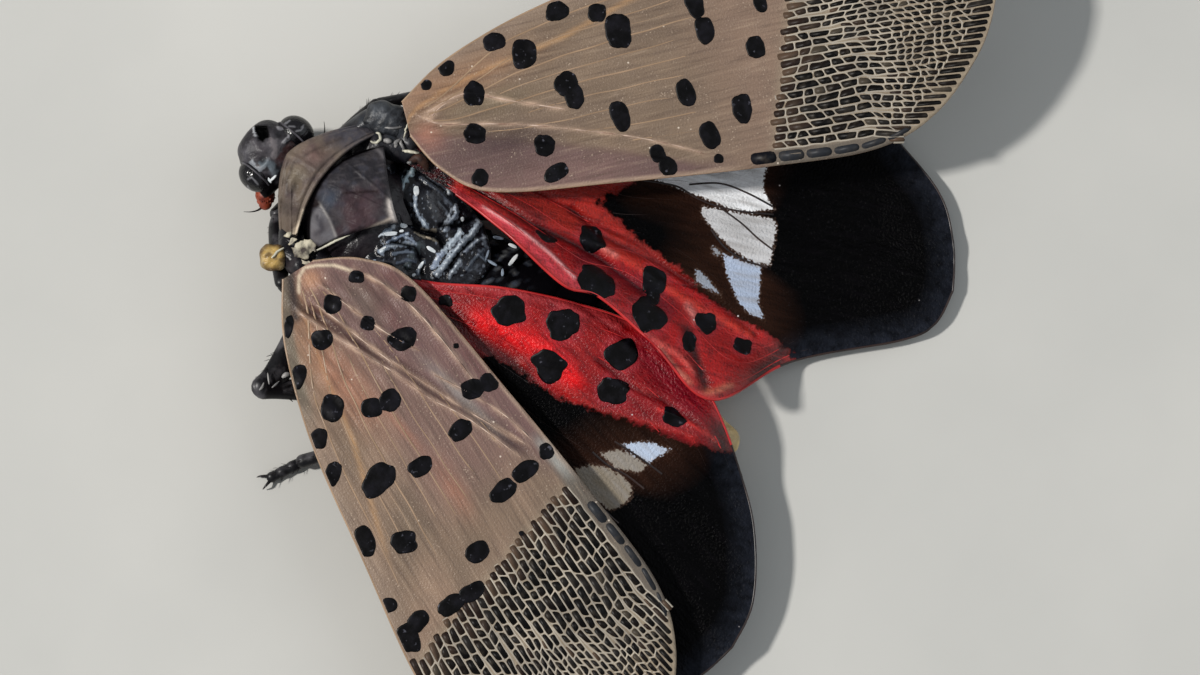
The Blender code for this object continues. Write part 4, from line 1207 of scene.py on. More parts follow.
def bulge(points, middle, amount):
    """Moves each point away from the line y through the middle (x, z) by amount mm."""
    away = points - np.array((middle[0], 0, middle[1]))
    away[:, 1] = 0
    return points + away / np.maximum(np.linalg.norm(away, axis=1, keepdims=True), 0.2) * amount[:, None]


trunk_shell = shell_finish("trunk_shell", 0.34, 900.0, paint(66, 60, 62), 0.00006)
points, faces = hull_form(THORAX_STATIONS, 2.6, 90, 72)
lobes = 0.05 * ripple(points[:, 1] * 1.2, points[:, 2] * 1.2, 1.3, 31) - 0.07 * np.exp(
    -((np.mod(points[:, 1] + 5.2, 1.45) - 0.7) / 0.09) ** 2)
points = bulge(points, (0, 2.2), lobes)
thorax = shut_form("thorax", points, faces, trunk_shell)
x, y, z = corners_mm(thorax).T
base = layered(
    coat(len(x), paint(34, 30, 34)),
    (falling(1.2, 1.9, z), (58, 46, 40)),
    (0.8 * rising(0.3, 0.9, ripple(y, z, 1.1, 14)), (60, 54, 58)))
give_colours(thorax, "tint", base)
hang(thorax, "dark_shell", "thorax")


def edge_round(across, along):
    """Half the thickness of a plate that is rounded towards its edges."""
    inside = np.minimum.reduce((across, 1 - across, along * 0.6, (1 - along) * 0.6)) / 0.06
    return PLATE_HALF * np.sqrt(np.clip(1 - (1 - np.clip(inside, 0.02, 1)) ** 2, 0, 1))


def pronotum_place(across, along):
    """The collar bows forward between the eyes, and its sides bend down."""
    side = np.sin((2 * across - 1) * 1.4) / math.sin(1.4)
    x = PRONOTUM_CENTRE_X + PRONOTUM_HALF_WIDTH * side
    front = PRONOTUM_FRONT_Y + 1.5 * np.abs(side) ** 1.5 - 0.08 * x
    rear = PRONOTUM_REAR_Y + 0.1 * x * x - 0.03 * x
    z = PRONOTUM_TOP - 0.3 * (1 - along) ** 2 - np.where(side < 0, 0.95, 1.3) * np.abs(side) ** 2.6 - 0.25
    z = z + 0.035 * ripple(x * 1.4 + along, along * 2.2, 1.1, 3) + 0.05 * bell(x + 0.3, 0.06)
    z = z - 0.07 * bell(along - 0.86, 0.05) - 0.05 * bell(along - 0.14, 0.05)
    for pit_x in (-1.0, 0.5):
        z = z - 0.14 * patch(x, along, pit_x, 0.55, 0.22, 0.16)
    z = z + 0.06 * bell(along - 0.35 - 0.22 * (x - 0.6), 0.05) * rising(0.4, 0.8, x)
    return np.stack((x, front + (rear - front) * along, z), -1)


collar_shell = shell_finish("collar_shell", 0.5, 1000.0, paint(124, 108, 96), 0.00008, 0.3)
pronotum = thin_sheet("pronotum", pronotum_place, edge_round, 130, 46, collar_shell)
x, y, z = corners_mm(pronotum).T
rear_gap = PRONOTUM_REAR_Y + 0.1 * x * x - 0.03 * x - y
wrinkle = [(0.9, -5.7), (0.56, -6.0), (-0.1, -6.1), (-0.85, -5.75), (-1.74, -5.18)]
base = layered(
    coat(len(x), paint(86, 75, 70)),
    (0.5 + ripple(x, y, 1.1, 17), (98, 86, 76)),
    (0.8 * rising(0.2, 0.8, ripple(x * 1.3, y, 0.9, 23)), (72, 60, 61)),
    (0.8 * np.exp(-np.hypot(x + 0.69, y + 5.65) ** 2 / 0.12), (116, 92, 86)),
    (0.7 * np.exp(-np.hypot(x - 0.3, y + 5.9) ** 2 / 0.16), (114, 102, 84)),
    (0.8 * rising(-1.0, -2.0, x), (70, 70, 79)),
    (0.6 * rising(0.9, 1.6, x), (100, 88, 78)),
    (0.55 * beside(wrinkle, 0.07, x, y), (50, 40, 39)),
    (0.3 * bell(rear_gap - 0.1, 0.07), (130, 118, 108)),
    # A painted highlight at the left end of the rear rim.
    (0.9 * beside([(2.2, -5.06), (1.95, -4.8), (1.43, -4.8), (1.15, -4.88)], 0.09, x, y), (226, 208, 184)),
    # Painted shade in the gap before the shield, flat black.
    (falling(0.0, 0.04, rear_gap), (14, 11, 13, 0.0)))
give_colours(pronotum, "tint", base)
hang(pronotum, "collar", "pronotum")

# The pale rear rims of the shield and its raised flap are paths of (x, y) points
SHIELD_RIMS = ([(2.16, -3.8), (1.43, -3.22), (0.67, -2.72), (-0.16, -2.2)],
               [(-2.16, -3.99), (-1.9, -3.35), (-1.12, -2.75), (-0.66, -2.5), (-0.35, -2.1)])
SHIELD_FLAP = [(0.71, -4.58), (0.95, -4.0), (1.14, -3.74), (1.34, -3.4), (1.85, -3.75), (1.83, -4.29),
               (1.3, -4.6)]


def mesonotum_place(across, along):
    """The shield: a bowed front edge, two rear edges that meet at the apex and faint lengthwise keels."""
    side = 2 * across - 1
    x = MESONOTUM_HALF_WIDTH * side
    front = MESONOTUM_FRONT_Y + 0.2 * x * x
    rear = MESONOTUM_APEX[1] + (MESONOTUM_CORNER_Y - MESONOTUM_APEX[1]) * np.abs(side) ** 0.8
    y = front + (rear - front) * along
    z = MESONOTUM_TOP - 0.05 * (y - MESONOTUM_CORNER_Y) ** 2 - 0.16 * x * x - 0.25
    z = z - 0.3 * falling(0.0, 0.45, y - front)
    x = x + MESONOTUM_APEX[0] * along
    for rim in SHIELD_RIMS:
        z = z + 0.05 * beside(rim, 0.1, x, y)
    for keel in (-0.95, -0.2, 0.75):
        bend = keel + 0.16 * (y + 3.8) * (1 if keel < -0.5 else -1)
        z = z + 0.045 * bell(x - bend, 0.05)
    z = z - 0.1 * patch(x, y, 0.9, -3.5, 0.3, 0.4)
    return np.stack((x, y, z + 0.02 * ripple(x, y, 0.8, 19)), -1)


shield_shell = shell_finish("shield_shell", 0.5, 1100.0, paint(86, 80, 82), 0.00006, 0.2)
mesonotum = thin_sheet("mesonotum", mesonotum_place, edge_round, 130, 100, shield_shell)
x, y, z = corners_mm(mesonotum).T
lines = rising(0.3, 1.0, np.sin((x * 0.82 + y * 0.57) * 22 + 2 * ripple(x, y, 1.5, 2)))
maroon = outline_depth([(-0.06, -4.04), (-0.75, -3.11), (0.38, -2.41), (1.07, -3.33)], x, y)
base = layered(
    coat(len(x), paint(46, 44, 48)),
    (0.4 * lines * falling(-0.4, 0.5, x) * rising(-0.6, 0.4, ripple(x, y, 0.9, 8)), (86, 82, 84)),
    (0.6 * rising(0.1, 0.8, ripple(x, y, 0.5, 33)), (62, 62, 70)),
    (0.7 * rising(-0.45, 0.35, maroon + 0.15 * ripple(x, y, 0.5, 61)), (76, 56, 60)),
    (0.6 * patch(x, y, 0.35, -4.35, 0.3, 0.3), (78, 86, 100)),
    (0.7 * beside([(-1.5, -4.4), (-1.9, -3.9)], 0.2, x, y), (44, 42, 44)),
    (0.85 * rising(-0.08, 0.1, outline_depth(SHIELD_FLAP, x, y)), (108, 106, 110)),
    (0.9 * beside([(1.1, -4.35), (1.35, -4.0), (1.6, -4.1)], 0.12, x, y), (62, 60, 66)),
    (0.8 * beside([(0.67, -4.6), (0.95, -4.0), (1.3, -3.5)], 0.05, x, y), (150, 146, 144)),
    (0.9 * beside([(-0.06, -4.04), (-0.75, -3.11)], 0.05, x, y), (34, 20, 22)),
    (0.9 * beside(SHIELD_RIMS[0], 0.065, x, y), (164, 152, 140)),
    (0.85 * beside(SHIELD_RIMS[1], 0.09, x, y), (100, 96, 98)),
    (beside([(-0.7, -2.47), (-0.5, -2.33), (-0.3, -2.1)], 0.13, x, y), (222, 212, 204)),
    # Painted shade in the gap behind the collar: the shield's front edge is near black.
    (beside([(0.62, -4.95), (0.72, -4.6), (1.0, -4.9), (1.3, -4.85)], 0.12, x, y), (26, 16, 18)),
    (falling(0.1, 0.2, y - (MESONOTUM_FRONT_Y + 0.2 * x * x)), (12, 10, 12, 0.0)))
give_colours(mesonotum, "tint", base)
hang(mesonotum, "shield", "mesonotum")


# Each ridge of the lobes is a path of (x, y) points, its half width, its rise, its colour and how much of it;
# the pale blue-grey colours are partly wax bloom and partly painted sheen on the crests
LOBE_RIDGES = [
    ([(-2.22, -2.5), (-1.87, -2.56), (-1.4, -2.48)], 0.1, 0.12, (168, 190, 200), 1.0),
    ([(-1.4, -2.48), (-1.02, -2.19), (-0.67, -1.73)], 0.08, 0.06, (40, 38, 42), 0.8),
    ([(-1.46, -1.89), (-1.15, -1.75), (-0.93, -1.46), (-0.85, -1.2), (-0.72, -0.93)], 0.08, 0.1,
     (140, 152, 166), 0.9),
    ([(-2.16, -2.11), (-2.12, -1.41), (-1.96, -0.71)], 0.07, 0.07, (62, 68, 78), 0.9),
    ([(-2.37, -1.96), (-2.34, -1.39), (-2.3, -0.88)], 0.06, 0.06, (56, 60, 68), 0.9),
    ([(-1.85, -1.4), (-1.6, -1.2), (-1.29, -0.89)], 0.2, 0.05, (66, 68, 72), 0.8),
    ([(-1.06, -0.43), (-1.5, -0.4), (-1.76, -0.39), (-1.95, -0.55)], 0.09, 0.12, (150, 160, 174), 0.9),
    ([(-0.36, -0.07), (-0.83, 0.03), (-1.26, 0.08)], 0.11, 0.1, (168, 180, 192), 1.0),
    ([(0.48, 0.18), (-0.27, 0.24), (-0.8, 0.3), (-1.45, 0.44), (-1.98, 0.48)], 0.12, 0.14, (142, 152, 164),
     1.0),
    ([(0.3, -0.05), (-0.14, -0.1), (-0.26, -0.05)], 0.09, 0.06, (140, 152, 172), 0.9),
    ([(0.22, 0.59), (-0.13, 0.6), (-0.36, 0.62)], 0.09, 0.08, (116, 124, 134), 0.85),
    ([(-0.77, 0.58), (-1.05, 0.64), (-1.35, 0.74)], 0.08, 0.1, (124, 132, 146), 0.9),
    ([(-0.38, -1.24), (-0.41, -0.94), (-0.54, -0.62), (-0.54, -0.42)], 0.05, 0.06, (112, 106, 94), 0.85),
    ([(0.87, -1.92), (0.55, -1.76), (0.29, -1.48), (0.08, -1.25), (-0.01, -1.0)], 0.09, 0.1, (138, 150, 166),
     0.9),
    ([(-0.05, -1.52), (-0.09, -1.33), (-0.09, -1.13)], 0.06, 0.06, (128, 140, 158), 0.85),
    ([(-0.1, -0.86), (0.24, -0.89), (0.72, -0.82)], 0.13, 0.07, (58, 66, 70), 0.8),
    ([(0.3, -0.47), (0.75, -0.42)], 0.07, 0.07, (120, 130, 146), 0.7),
    ([(1.3, -2.0), (1.0, -1.4), (1.1, -0.8)], 0.12, 0.1, (44, 44, 50), 0.8),
    ([(1.8, -2.4), (1.7, -1.6), (1.5, -0.9)], 0.14, 0.12, (36, 36, 42), 0.8),
    ([(-2.61, -2.0), (-2.41, -1.76), (-2.39, -1.4)], 0.05, 0.05, (120, 130, 142), 0.9),
    ([(-2.5, -1.23), (-2.35, -1.1), (-2.23, -1.0)], 0.06, 0.05, (150, 156, 162), 0.9),
    ([(-1.76, -1.11), (-1.64, -0.74), (-1.55, -0.51)], 0.05, 0.05, (78, 84, 92), 0.8),
    ([(-1.8, -0.62), (-1.49, -0.55), (-0.99, -0.56)], 0.04, 0.03, (170, 178, 188), 0.7),
    ([(-0.61, -1.15), (-0.67, -0.96), (-0.85, -0.7)], 0.05, 0.04, (120, 112, 100), 0.8),
    ([(0.5, -2.3), (0.2, -2.15), (-0.15, -2.0)], 0.06, 0.06, (196, 204, 212), 0.9),
    ([(1.5, -2.54), (1.1, -2.6), (0.77, -2.62)], 0.05, 0.04, (104, 102, 110), 0.8),
    ([(0.45, -1.9), (0.15, -1.7), (-0.2, -1.45)], 0.05, 0.05, (120, 134, 156), 0.85),
    ([(0.7, -1.5), (0.4, -1.2), (0.25, -0.95)], 0.05, 0.05, (96, 106, 120), 0.8),
    ([(0.9, -1.2), (0.6, -1.0), (0.5, -0.7)], 0.05, 0.05, (70, 78, 92), 0.8),
    ([(-0.2, 0.95), (-0.7, 1.0), (-1.2, 1.1)], 0.06, 0.06, (72, 80, 90), 0.8),
    ([(-0.93, 1.01), (-0.92, 1.37)], 0.05, 0.05, (92, 100, 112), 0.8),
    ([(-1.34, 0.75), (-1.63, 0.92), (-1.75, 1.2)], 0.07, 0.07, (110, 116, 128), 0.85),
]
LOBE_GROOVES = [
    ([(-2.6, -3.3), (-1.77, -2.85), (-1.05, -2.36), (-0.66, -1.7)], 0.16, -0.22),
    ([(-0.6, -1.75), (-0.55, -1.2), (-0.75, -0.6), (-0.6, -0.2)], 0.13, -0.16),
    ([(0.35, -1.75), (0.05, -1.0), (0.3, -0.55), (0.7, -0.3)], 0.1, -0.1),
    ([(-1.1, -0.6), (-1.5, -0.1), (-1.95, 0.15)], 0.13, -0.13),
    ([(0.1, 0.4), (-0.7, 0.45), (-1.3, 0.6)], 0.07, -0.08),
]
LOBE_EDGE = [(-4.4, 1.5), (-4.0, 2.35), (-3.0, 2.6), (-1.5, 2.55), (-0.4, 2.3), (0.6, 1.9), (1.3, 1.3),
             (1.6, 0.8)]


def lobe_height(x, y):
    """The top of the glossy black folded lobes behind and beside the shield."""
    places = (-4.4, -3.6, -1.8, -0.85, -0.2, 0.5, 1.7, 3.2)
    top = np.interp(y, places, (2.95, 3.12, 3.14, 3.02, 2.94, 2.9, 2.8, 2.74)) - 0.07 * (x + 0.1) ** 2
    for mid_x, mid_y, wide, rise in ((-1.6, -1.25, 0.75, 0.24), (0.75, -1.3, 0.6, 0.14),
                                     (-0.9, 0.6, 0.8, 0.1)):
        top = top + rise * np.exp(-((x - mid_x) ** 2 + (y - mid_y) ** 2) / wide ** 2)
    for path, width, rise in LOBE_GROOVES:
        top = top + rise * beside(path, width, x, y)
    for path, width, rise, _, _ in LOBE_RIDGES:
        top = top + rise * beside(path, width, x, y)
    return top + 0.018 * ripple(x, y, 0.7, 16) * rising(-2.6, -2.2, y)


def lobes_place(across, along):
    y = -4.4 + 6.0 * along
    half = np.interp(y, *zip(*LOBE_EDGE))
    x = -0.1 + half * (2 * across - 1)
    return np.stack((x, y, lobe_height(x, y) - 0.2), -1)


lobe_shell = shell_finish("lobe_shell", 0.3, 1500.0, paint(52, 56, 66), 0.00005, 0.4, 0.15)
lobes = thin_sheet("wing_lobes", lobes_place, edge_round, 180, 225, lobe_shell)
x, y, z = corners_mm(lobes).T
base = layered(
    coat(len(x), paint(17, 17, 22)),
    (0.8 * patch(x, y, -1.6, -1.1, 0.4, 0.45), (52, 55, 60)),
    (0.8 * rising(-2.6, -3.0, y + 0.5 * np.abs(x - 1.0)), (20, 17, 21, 0.0)))
uneven = 0.3 * ripple(x, y, 0.3, 41) + 0.2 * ripple(x, y, 0.16, 43)
for path, width, _, colour, share in LOBE_RIDGES:
    core = beside(path, width * 1.15, x, y) + uneven
    # Painted highlights: the brightest crests turn near white.
    crest_highlight_share = share * (sum(paint(*colour)[:3]) > 0.5)
    base = layered(base, (share * rising(0.35, 0.6, core), colour),
                   (crest_highlight_share * rising(0.95, 1.15, core), (200, 210, 218)))
# Painted shade: the grooves are tinted near black.
for path, width, _ in LOBE_GROOVES:
    base = tinted(base, beside(path, width * 0.9, x, y), paint(8, 8, 11, 0.0))
give_colours(lobes, "tint", base)
hang(lobes, "dark_shell", "thorax")


def tube_form(points, radii, sides=20, parts=12, squash=1.0):
    """Points and faces of a smooth tapered tube with domed ends through points in mm."""
    share = steps((len(points) - 1) * parts + 1)
    line, size = spline(points, share), spline([(radius,) for radius in radii], share)[:, 0]
    forward = np.gradient(line, axis=0)
    forward /= np.linalg.norm(forward, axis=1, keepdims=True)
    dome = np.radians((90, 70, 45, 22))
    start = [line[0] - forward[0] * size[0] * math.sin(a) for a in dome]
    end = [line[-1] + forward[-1] * size[-1] * math.sin(a) for a in dome[::-1]]
    line = np.vstack((start, line, end))
    size = np.concatenate((size[0] * np.cos(dome), size, size[-1] * np.cos(dome[::-1])))
    forward = np.vstack(([forward[0]] * 4, forward, [forward[-1]] * 4))
    level = np.cross(forward, (0.13, 0.21, 0.97))
    level /= np.linalg.norm(level, axis=1, keepdims=True)
    upper = np.cross(level, forward)
    turn = np.linspace(0, 2 * np.pi, sides, endpoint=False)
    wide, tall = np.cos(turn)[None, :, None], np.sin(turn)[None, :, None]
    ring = level[:, None] * wide + upper[:, None] * tall * squash
    return (line[:, None] + ring * size[:, None, None]).reshape(-1, 3), ring_faces(len(line), sides)


def joined(forms):
    """Several forms' points and faces as one."""
    points, faces = [], []
    for form_points, form_faces in forms:
        faces.extend(tuple(corner + len(points) for corner in face) for face in form_faces)
        points.extend(form_points)
    return np.array(points), faces


SIDE_LOBES = [
    ([(-1.7, -5.3, 2.35), (-2.4, -4.9, 2.5), (-3.1, -4.5, 2.75), (-3.35, -3.8, 3.0), (-2.95, -3.1, 3.1)],
     (0.35, 0.5, 0.5, 0.45, 0.3)),
    ([(-1.8, -4.4, 2.6), (-2.4, -4.0, 2.85), (-2.6, -3.2, 2.9), (-2.75, -2.5, 2.9)], (0.4, 0.5, 0.45, 0.25)),
    ([(1.6, -5.2, 2.3), (2.1, -4.75, 2.5), (2.6, -4.3, 2.75), (2.75, -3.7, 3.0), (2.6, -3.0, 3.0)],
     (0.35, 0.5, 0.5, 0.45, 0.3)),
    ([(1.8, -4.0, 2.6), (2.3, -3.5, 2.8), (2.2, -2.8, 2.85)], (0.35, 0.45, 0.3)),
]
points, faces = joined([tube_form(path, radii, 30, 16) for path, radii in SIDE_LOBES])
points[:, 2] += 0.05 * ripple(points[:, 0], points[:, 1], 0.7, 27)
side_lobes = shut_form("side_lobes", points, faces, trunk_shell)
x, y, z = corners_mm(side_lobes).T
base = layered(
    coat(len(x), paint(50, 53, 58)),
    (0.9 * rising(0.0, 0.7, ripple(x, y, 0.5, 12)), (24, 25, 30)),
    (rising(-2.75, -2.3, x), (24, 23, 28)))
give_colours(side_lobes, "tint", base)
hang(side_lobes, "dark_shell", "thorax")

# Wax: brittle blue-white flakes that the insect sheds onto its black parts, their white and pale blue partly
# painted glints and sheen. Each flake is (x, y, half its length, half its width, turn from +X in degrees);
# the brightest ones are nearly white.
BLUE_FLAKES = [(-2.54, -1.57, 0.16, 0.07, 54), (-2.42, -1.12, 0.16, 0.06, 60), (0.09, -2.13, 0.2, 0.07, 128),
               (-1.1, 1.3, 0.2, 0.04, 15), (-0.96, 1.6, 0.2, 0.05, 90), (-0.87, 2.08, 0.14, 0.05, 30),
               (-1.85, 1.3, 0.2, 0.06, 115), (1.35, -2.0, 0.22, 0.05, 150), (1.3, -0.85, 0.22, 0.05, 30)]
WHITE_FLAKES = [(-1.66, -2.0, 0.2, 0.1, 32), (-1.73, -0.11, 0.08, 0.06, 40), (0.12, -1.95, 0.24, 0.08, 128),
                (-0.37, -1.72, 0.13, 0.09, 118), (-0.19, -0.46, 0.19, 0.07, 88), (0.47, -0.47, 0.16, 0.06, 0),
                (0.9, -0.5, 0.08, 0.05, 150), (-1.46, 2.16, 0.26, 0.07, -5), (-1.89, 1.88, 0.17, 0.06, 97),
                (0.72, -1.9, 0.14, 0.04, 150), (-0.17, -1.68, 0.08, 0.05, 130), (-2.58, -1.9, 0.12, 0.05, 55)]
BEIGE_FLAKES = [(-0.48, -0.75, 0.12, 0.04, 100), (-2.53, -2.6, 0.16, 0.07, 20), (-2.9, -2.55, 0.12, 0.06, 50)]


def on_lobes(x, y, lift=0.0):
    return np.stack((x, y, lobe_height(x, y) + lift), -1)


blue_wax_and_sheen = mottled_finish("blue_wax_and_sheen", 0.4, (150, 164, 180), (98, 108, 122), 2600.0, 0.00006)
white_wax_and_glint = mottled_finish("white_wax_and_glint", 0.35, (226, 230, 232), (182, 190, 196), 2600.0, 0.00006)
beige_wax = mottled_finish("beige_wax", 0.45, (176, 164, 144), (120, 108, 96), 2600.0, 0.00006)
for flake_name, flakes, wax in (("blue_wax_and_sheen", BLUE_FLAKES, blue_wax_and_sheen), ("white_wax_and_glint", WHITE_FLAKES, white_wax_and_glint),
                                ("beige_wax", BEIGE_FLAKES, beige_wax)):
    outlines = [spot_outline(*flake, seed=n + 7, sides=22) for n, flake in enumerate(flakes)]
    hang(lens_piece(flake_name, outlines, on_lobes, 0.02, 0.015, wax, (0.5,)), "dark_shell", "thorax")


# Head: a blunt black capsule with an ocellus pit and a curved rim beside each eye, and a dark notch at its
# front right. It is turned to the insect's right on the neck. The eyes are faceted domes on its cheeks.
HEAD_STATIONS = [(-8.2, -0.1, 1.9, 2.3, 0), (-8.1, -0.1, 1.4, 2.7, 0.6), (-7.75, -0.1, 1.1, 2.95, 0.93),
                 (-7.2, -0.1, 1.0, 3.05, 1.05), (-6.75, -0.05, 1.1, 2.95, 1.15), (-6.4, 0.0, 1.3, 2.75, 1.22),
                 (-6.15, 0.0, 1.5, 2.5, 1.1), (-6.05, 0.0, 2.0, 2.2, 0)]
NECK = (-0.1, -6.4)
HEAD_TURN = math.radians(-9.0)
EYES = {"right": ((-1.07, -6.88, 2.3), (0.6, 0.68, 0.62)), "left": ((1.0, -6.95, 2.25), (0.52, 0.64, 0.6))}
HEAD_NOTCH = [(-0.37, -8.1), (-0.44, -8.05), (-0.65, -7.76), (-0.5, -7.55), (-0.36, -7.41), (-0.22, -7.5),
              (-0.11, -7.44), (-0.02, -7.62), (-0.17, -7.81), (-0.21, -7.95)]
EYE_PITS = ((-0.66, -7.2), (0.4, -7.07))
# Each ridge of the crown is a path, its half width, its rise, its colour and how much of it
HEAD_RIDGES = [
    ([(-0.86, -7.42), (-1.0, -7.26), (-1.0, -7.01), (-0.82, -6.9), (-0.6, -6.93)], 0.08, 0.09,
     (138, 136, 140), 1.0),
    ([(0.7, -7.3), (0.78, -7.1), (0.7, -6.93), (0.5, -6.88), (0.3, -6.93)], 0.09, 0.07, (134, 138, 144),
     0.95),
    ([(0.78, -6.91), (0.98, -6.65), (1.16, -6.33)], 0.04, 0.05, (140, 140, 144), 1.0),
    # A painted highlight on the notch's left rim.
    ([(-0.29, -8.09), (-0.16, -7.93), (-0.08, -7.82)], 0.035, 0.04, (176, 178, 182), 0.9),
    ([(0.1, -7.75), (0.2, -7.4), (0.1, -7.2)], 0.12, 0.05, (74, 70, 74), 0.7),
    ([(-0.35, -7.25), (-0.2, -7.0), (0.0, -6.85)], 0.12, 0.03, (112, 106, 108), 0.8),
    ([(0.47, -7.0), (0.3, -6.7), (0.45, -6.5)], 0.13, 0.03, (104, 114, 122), 0.85),
    ([(0.07, -6.61), (-0.3, -6.66), (-0.9, -6.72)], 0.13, 0.0, (64, 44, 44), 0.85),
    ([(0.55, -7.75), (0.75, -7.6), (0.82, -7.45)], 0.08, 0.06, (60, 58, 62), 0.7),
]


def on_neck(points):
    """Turns points about the neck to where the head looks."""
    x, y = points[:, 0] - NECK[0], points[:, 1] - NECK[1]
    turned = points.copy()
    turned[:, 0] = NECK[0] + x * math.cos(HEAD_TURN) - y * math.sin(HEAD_TURN)
    turned[:, 1] = NECK[1] + x * math.sin(HEAD_TURN) + y * math.cos(HEAD_TURN)
    return turned


def off_neck(x, y):
    x, y = x - NECK[0], y - NECK[1]
    return (NECK[0] + x * math.cos(HEAD_TURN) + y * math.sin(HEAD_TURN),
            NECK[1] - x * math.sin(HEAD_TURN) + y * math.cos(HEAD_TURN))


def head_relief(x, y):
    """How far the crown stands up: a curved ridge round each pit, the notch, and fine wrinkles."""
    rise = 0.03 * ripple(x, y, 0.7, 11) - 0.12 * rising(-0.02, 0.06, outline_depth(HEAD_NOTCH, x, y))
    for pit_x, pit_y in EYE_PITS:
        rise = rise - 0.1 * np.exp(-((x - pit_x) ** 2 + (y - pit_y) ** 2) / 0.02)
    for path, width, height, _, _ in HEAD_RIDGES:
        rise = rise + height * beside(path, width, x, y)
    return rise


head_shell = shell_finish("head_shell", 0.4, 1500.0, paint(88, 86, 92), 0.00006, 0.3)
points, faces = hull_form(HEAD_STATIONS, 2.4, 120, 120)
upward = rising(2.2, 2.8, points[:, 2])
points[:, 2] += head_relief(points[:, 0], points[:, 1]) * upward
points = bulge(points, (-0.1, 2.0), 0.025 * ripple(points[:, 1], points[:, 2], 0.6, 13) * (1 - upward))
head = shut_form("head", on_neck(points), faces, head_shell)
x, y, z = corners_mm(head).T
x, y = off_neck(x, y)
crown = rising(2.3, 2.7, z)
base = tinted(coat(len(x), paint(40, 38, 42)), 0.8 * crown * patch(x, y, -0.05, -7.1, 0.6, 0.36),
              paint(94, 90, 94))
uneven = 0.25 * ripple(x, y, 0.25, 47)
for path, width, _, colour, share in HEAD_RIDGES:
    shown = share * crown * rising(0.25, 0.7, beside(path, width * 1.1, x, y) + uneven)
    base = tinted(base, shown, paint(*colour))
for pit_x, pit_y in EYE_PITS:
    base = tinted(base, 0.9 * crown * np.exp(-((x - pit_x) ** 2 + (y - pit_y) ** 2) / 0.018),
                  paint(26, 24, 28))
base = layered(
    base,
    # The notch is painted flat black, painted shade in its hollow.
    (rising(-0.03, 0.02, outline_depth(HEAD_NOTCH, x, y)) * crown, (0, 0, 0, 0.0)),
    (rising(-6.75, -6.5, y) * rising(0.55, 0.75, x), (14, 12, 14, 0.0)),
    (falling(1.1, 1.6, z), (70, 56, 48)))
give_colours(head, "tint", base)
hang(head, "dark_shell", "head")

facets, add, feed = new_finish("facets", 0.22, 0.45)
where = object_place(add)
cells = add("ShaderNodeTexVoronoi", {"Vector": where, "Scale": 16000.0}, feature="F1").outputs["Distance"]
blush = noise(add, where, 1500.0, 3.0)
tint = read(add, "tint")
feed(flecked(add, tint, blush, 0.4, 0.7, 0.35, paint(44, 42, 46)), "Base Color")
feed_bump(add, feed, cells, 0.35, 0.00003)
# Painted reflections: paler crescents on each eye, as paths and their half widths
EYE_REFLECTIONS = {
    "right": [
        ([(-1.13, -7.17), (-1.24, -7.02)], 0.04),
        ([(-1.14, -6.87), (-1.3, -6.76), (-1.51, -6.82)], 0.035),
        ([(-1.1, -7.35), (-1.3, -7.3)], 0.05),
    ],
    "left": [
        ([(1.22, -7.03), (1.09, -6.97), (1.12, -6.65)], 0.035),
        ([(1.36, -6.56), (1.42, -6.72), (1.38, -6.9)], 0.03),
    ],
}
eye_rim = mottled_finish("eye_rim", 0.4, (84, 82, 88), (44, 42, 46), 2200.0)
EYE_RINGS, EYE_SIDES = 61, 90
for side_name, (centre, size) in EYES.items():
    side = -1.0 if side_name == "right" else 1.0
    angle = np.linspace(0, np.pi, EYE_RINGS)[:, None]
    turn = np.linspace(0, 2 * np.pi, EYE_SIDES, endpoint=False)[None, :]
    dome = np.stack((np.cos(angle) + 0 * turn, np.sin(angle) * np.cos(turn), np.sin(angle) * np.sin(turn)),
                    -1)
    dome = dome.reshape(-1, 3) * np.array((side * size[0], size[1], size[2]))
    dome = dome + np.array((NECK[0] + centre[0], centre[1], centre[2]))
    dome[:, 0] = np.where((dome[:, 0] - NECK[0]) * side < 0.7, NECK[0] + side * 0.7, dome[:, 0])
    eye = shut_form("eye_" + side_name, on_neck(dome), ring_faces(EYE_RINGS, EYE_SIDES), facets)
    x, y = off_neck(*corners_mm(eye).T[:2])
    base = coat(len(x), paint(15, 14, 17))
    for path, width in EYE_REFLECTIONS[side_name]:
        base = tinted(base, 0.8 * rising(0.3, 0.7, beside(path, width, x, y)), paint(112, 112, 116))
    give_colours(eye, "tint", base)
    hang(eye, "eye", "eye_" + side_name)
    ring = np.linspace(0, 2 * np.pi, 40)
    rim_x = np.full(40, NECK[0] + side * 0.96)
    rim = np.stack((rim_x, centre[1] + (size[1] + 0.01) * np.cos(ring),
                    centre[2] + (size[2] + 0.01) * np.sin(ring)), -1)
    hang(tube_piece("eye_rim_" + side_name, [(on_neck(rim), 0.035)], eye_rim, 8), "dark_shell",
         "eye_" + side_name)

# A painted highlight: a white V on the crown.
v_highlight = [spot_outline(0.74, -6.48, 0.15, 0.045, 84, 1, 18),
          spot_outline(0.6, -6.38, 0.15, 0.045, 172, 2, 18)]


def on_crown(x, y, lift=0.0):
    z = 2.74 - 0.35 * rising(0.5, 1.1, x) + lift
    return on_neck(np.stack((x, y, z + 0 * x), -1))


hang(lens_piece("head_v_highlight", v_highlight, on_crown, 0.05, 0.04, white_wax_and_glint), "dark_shell", "head")


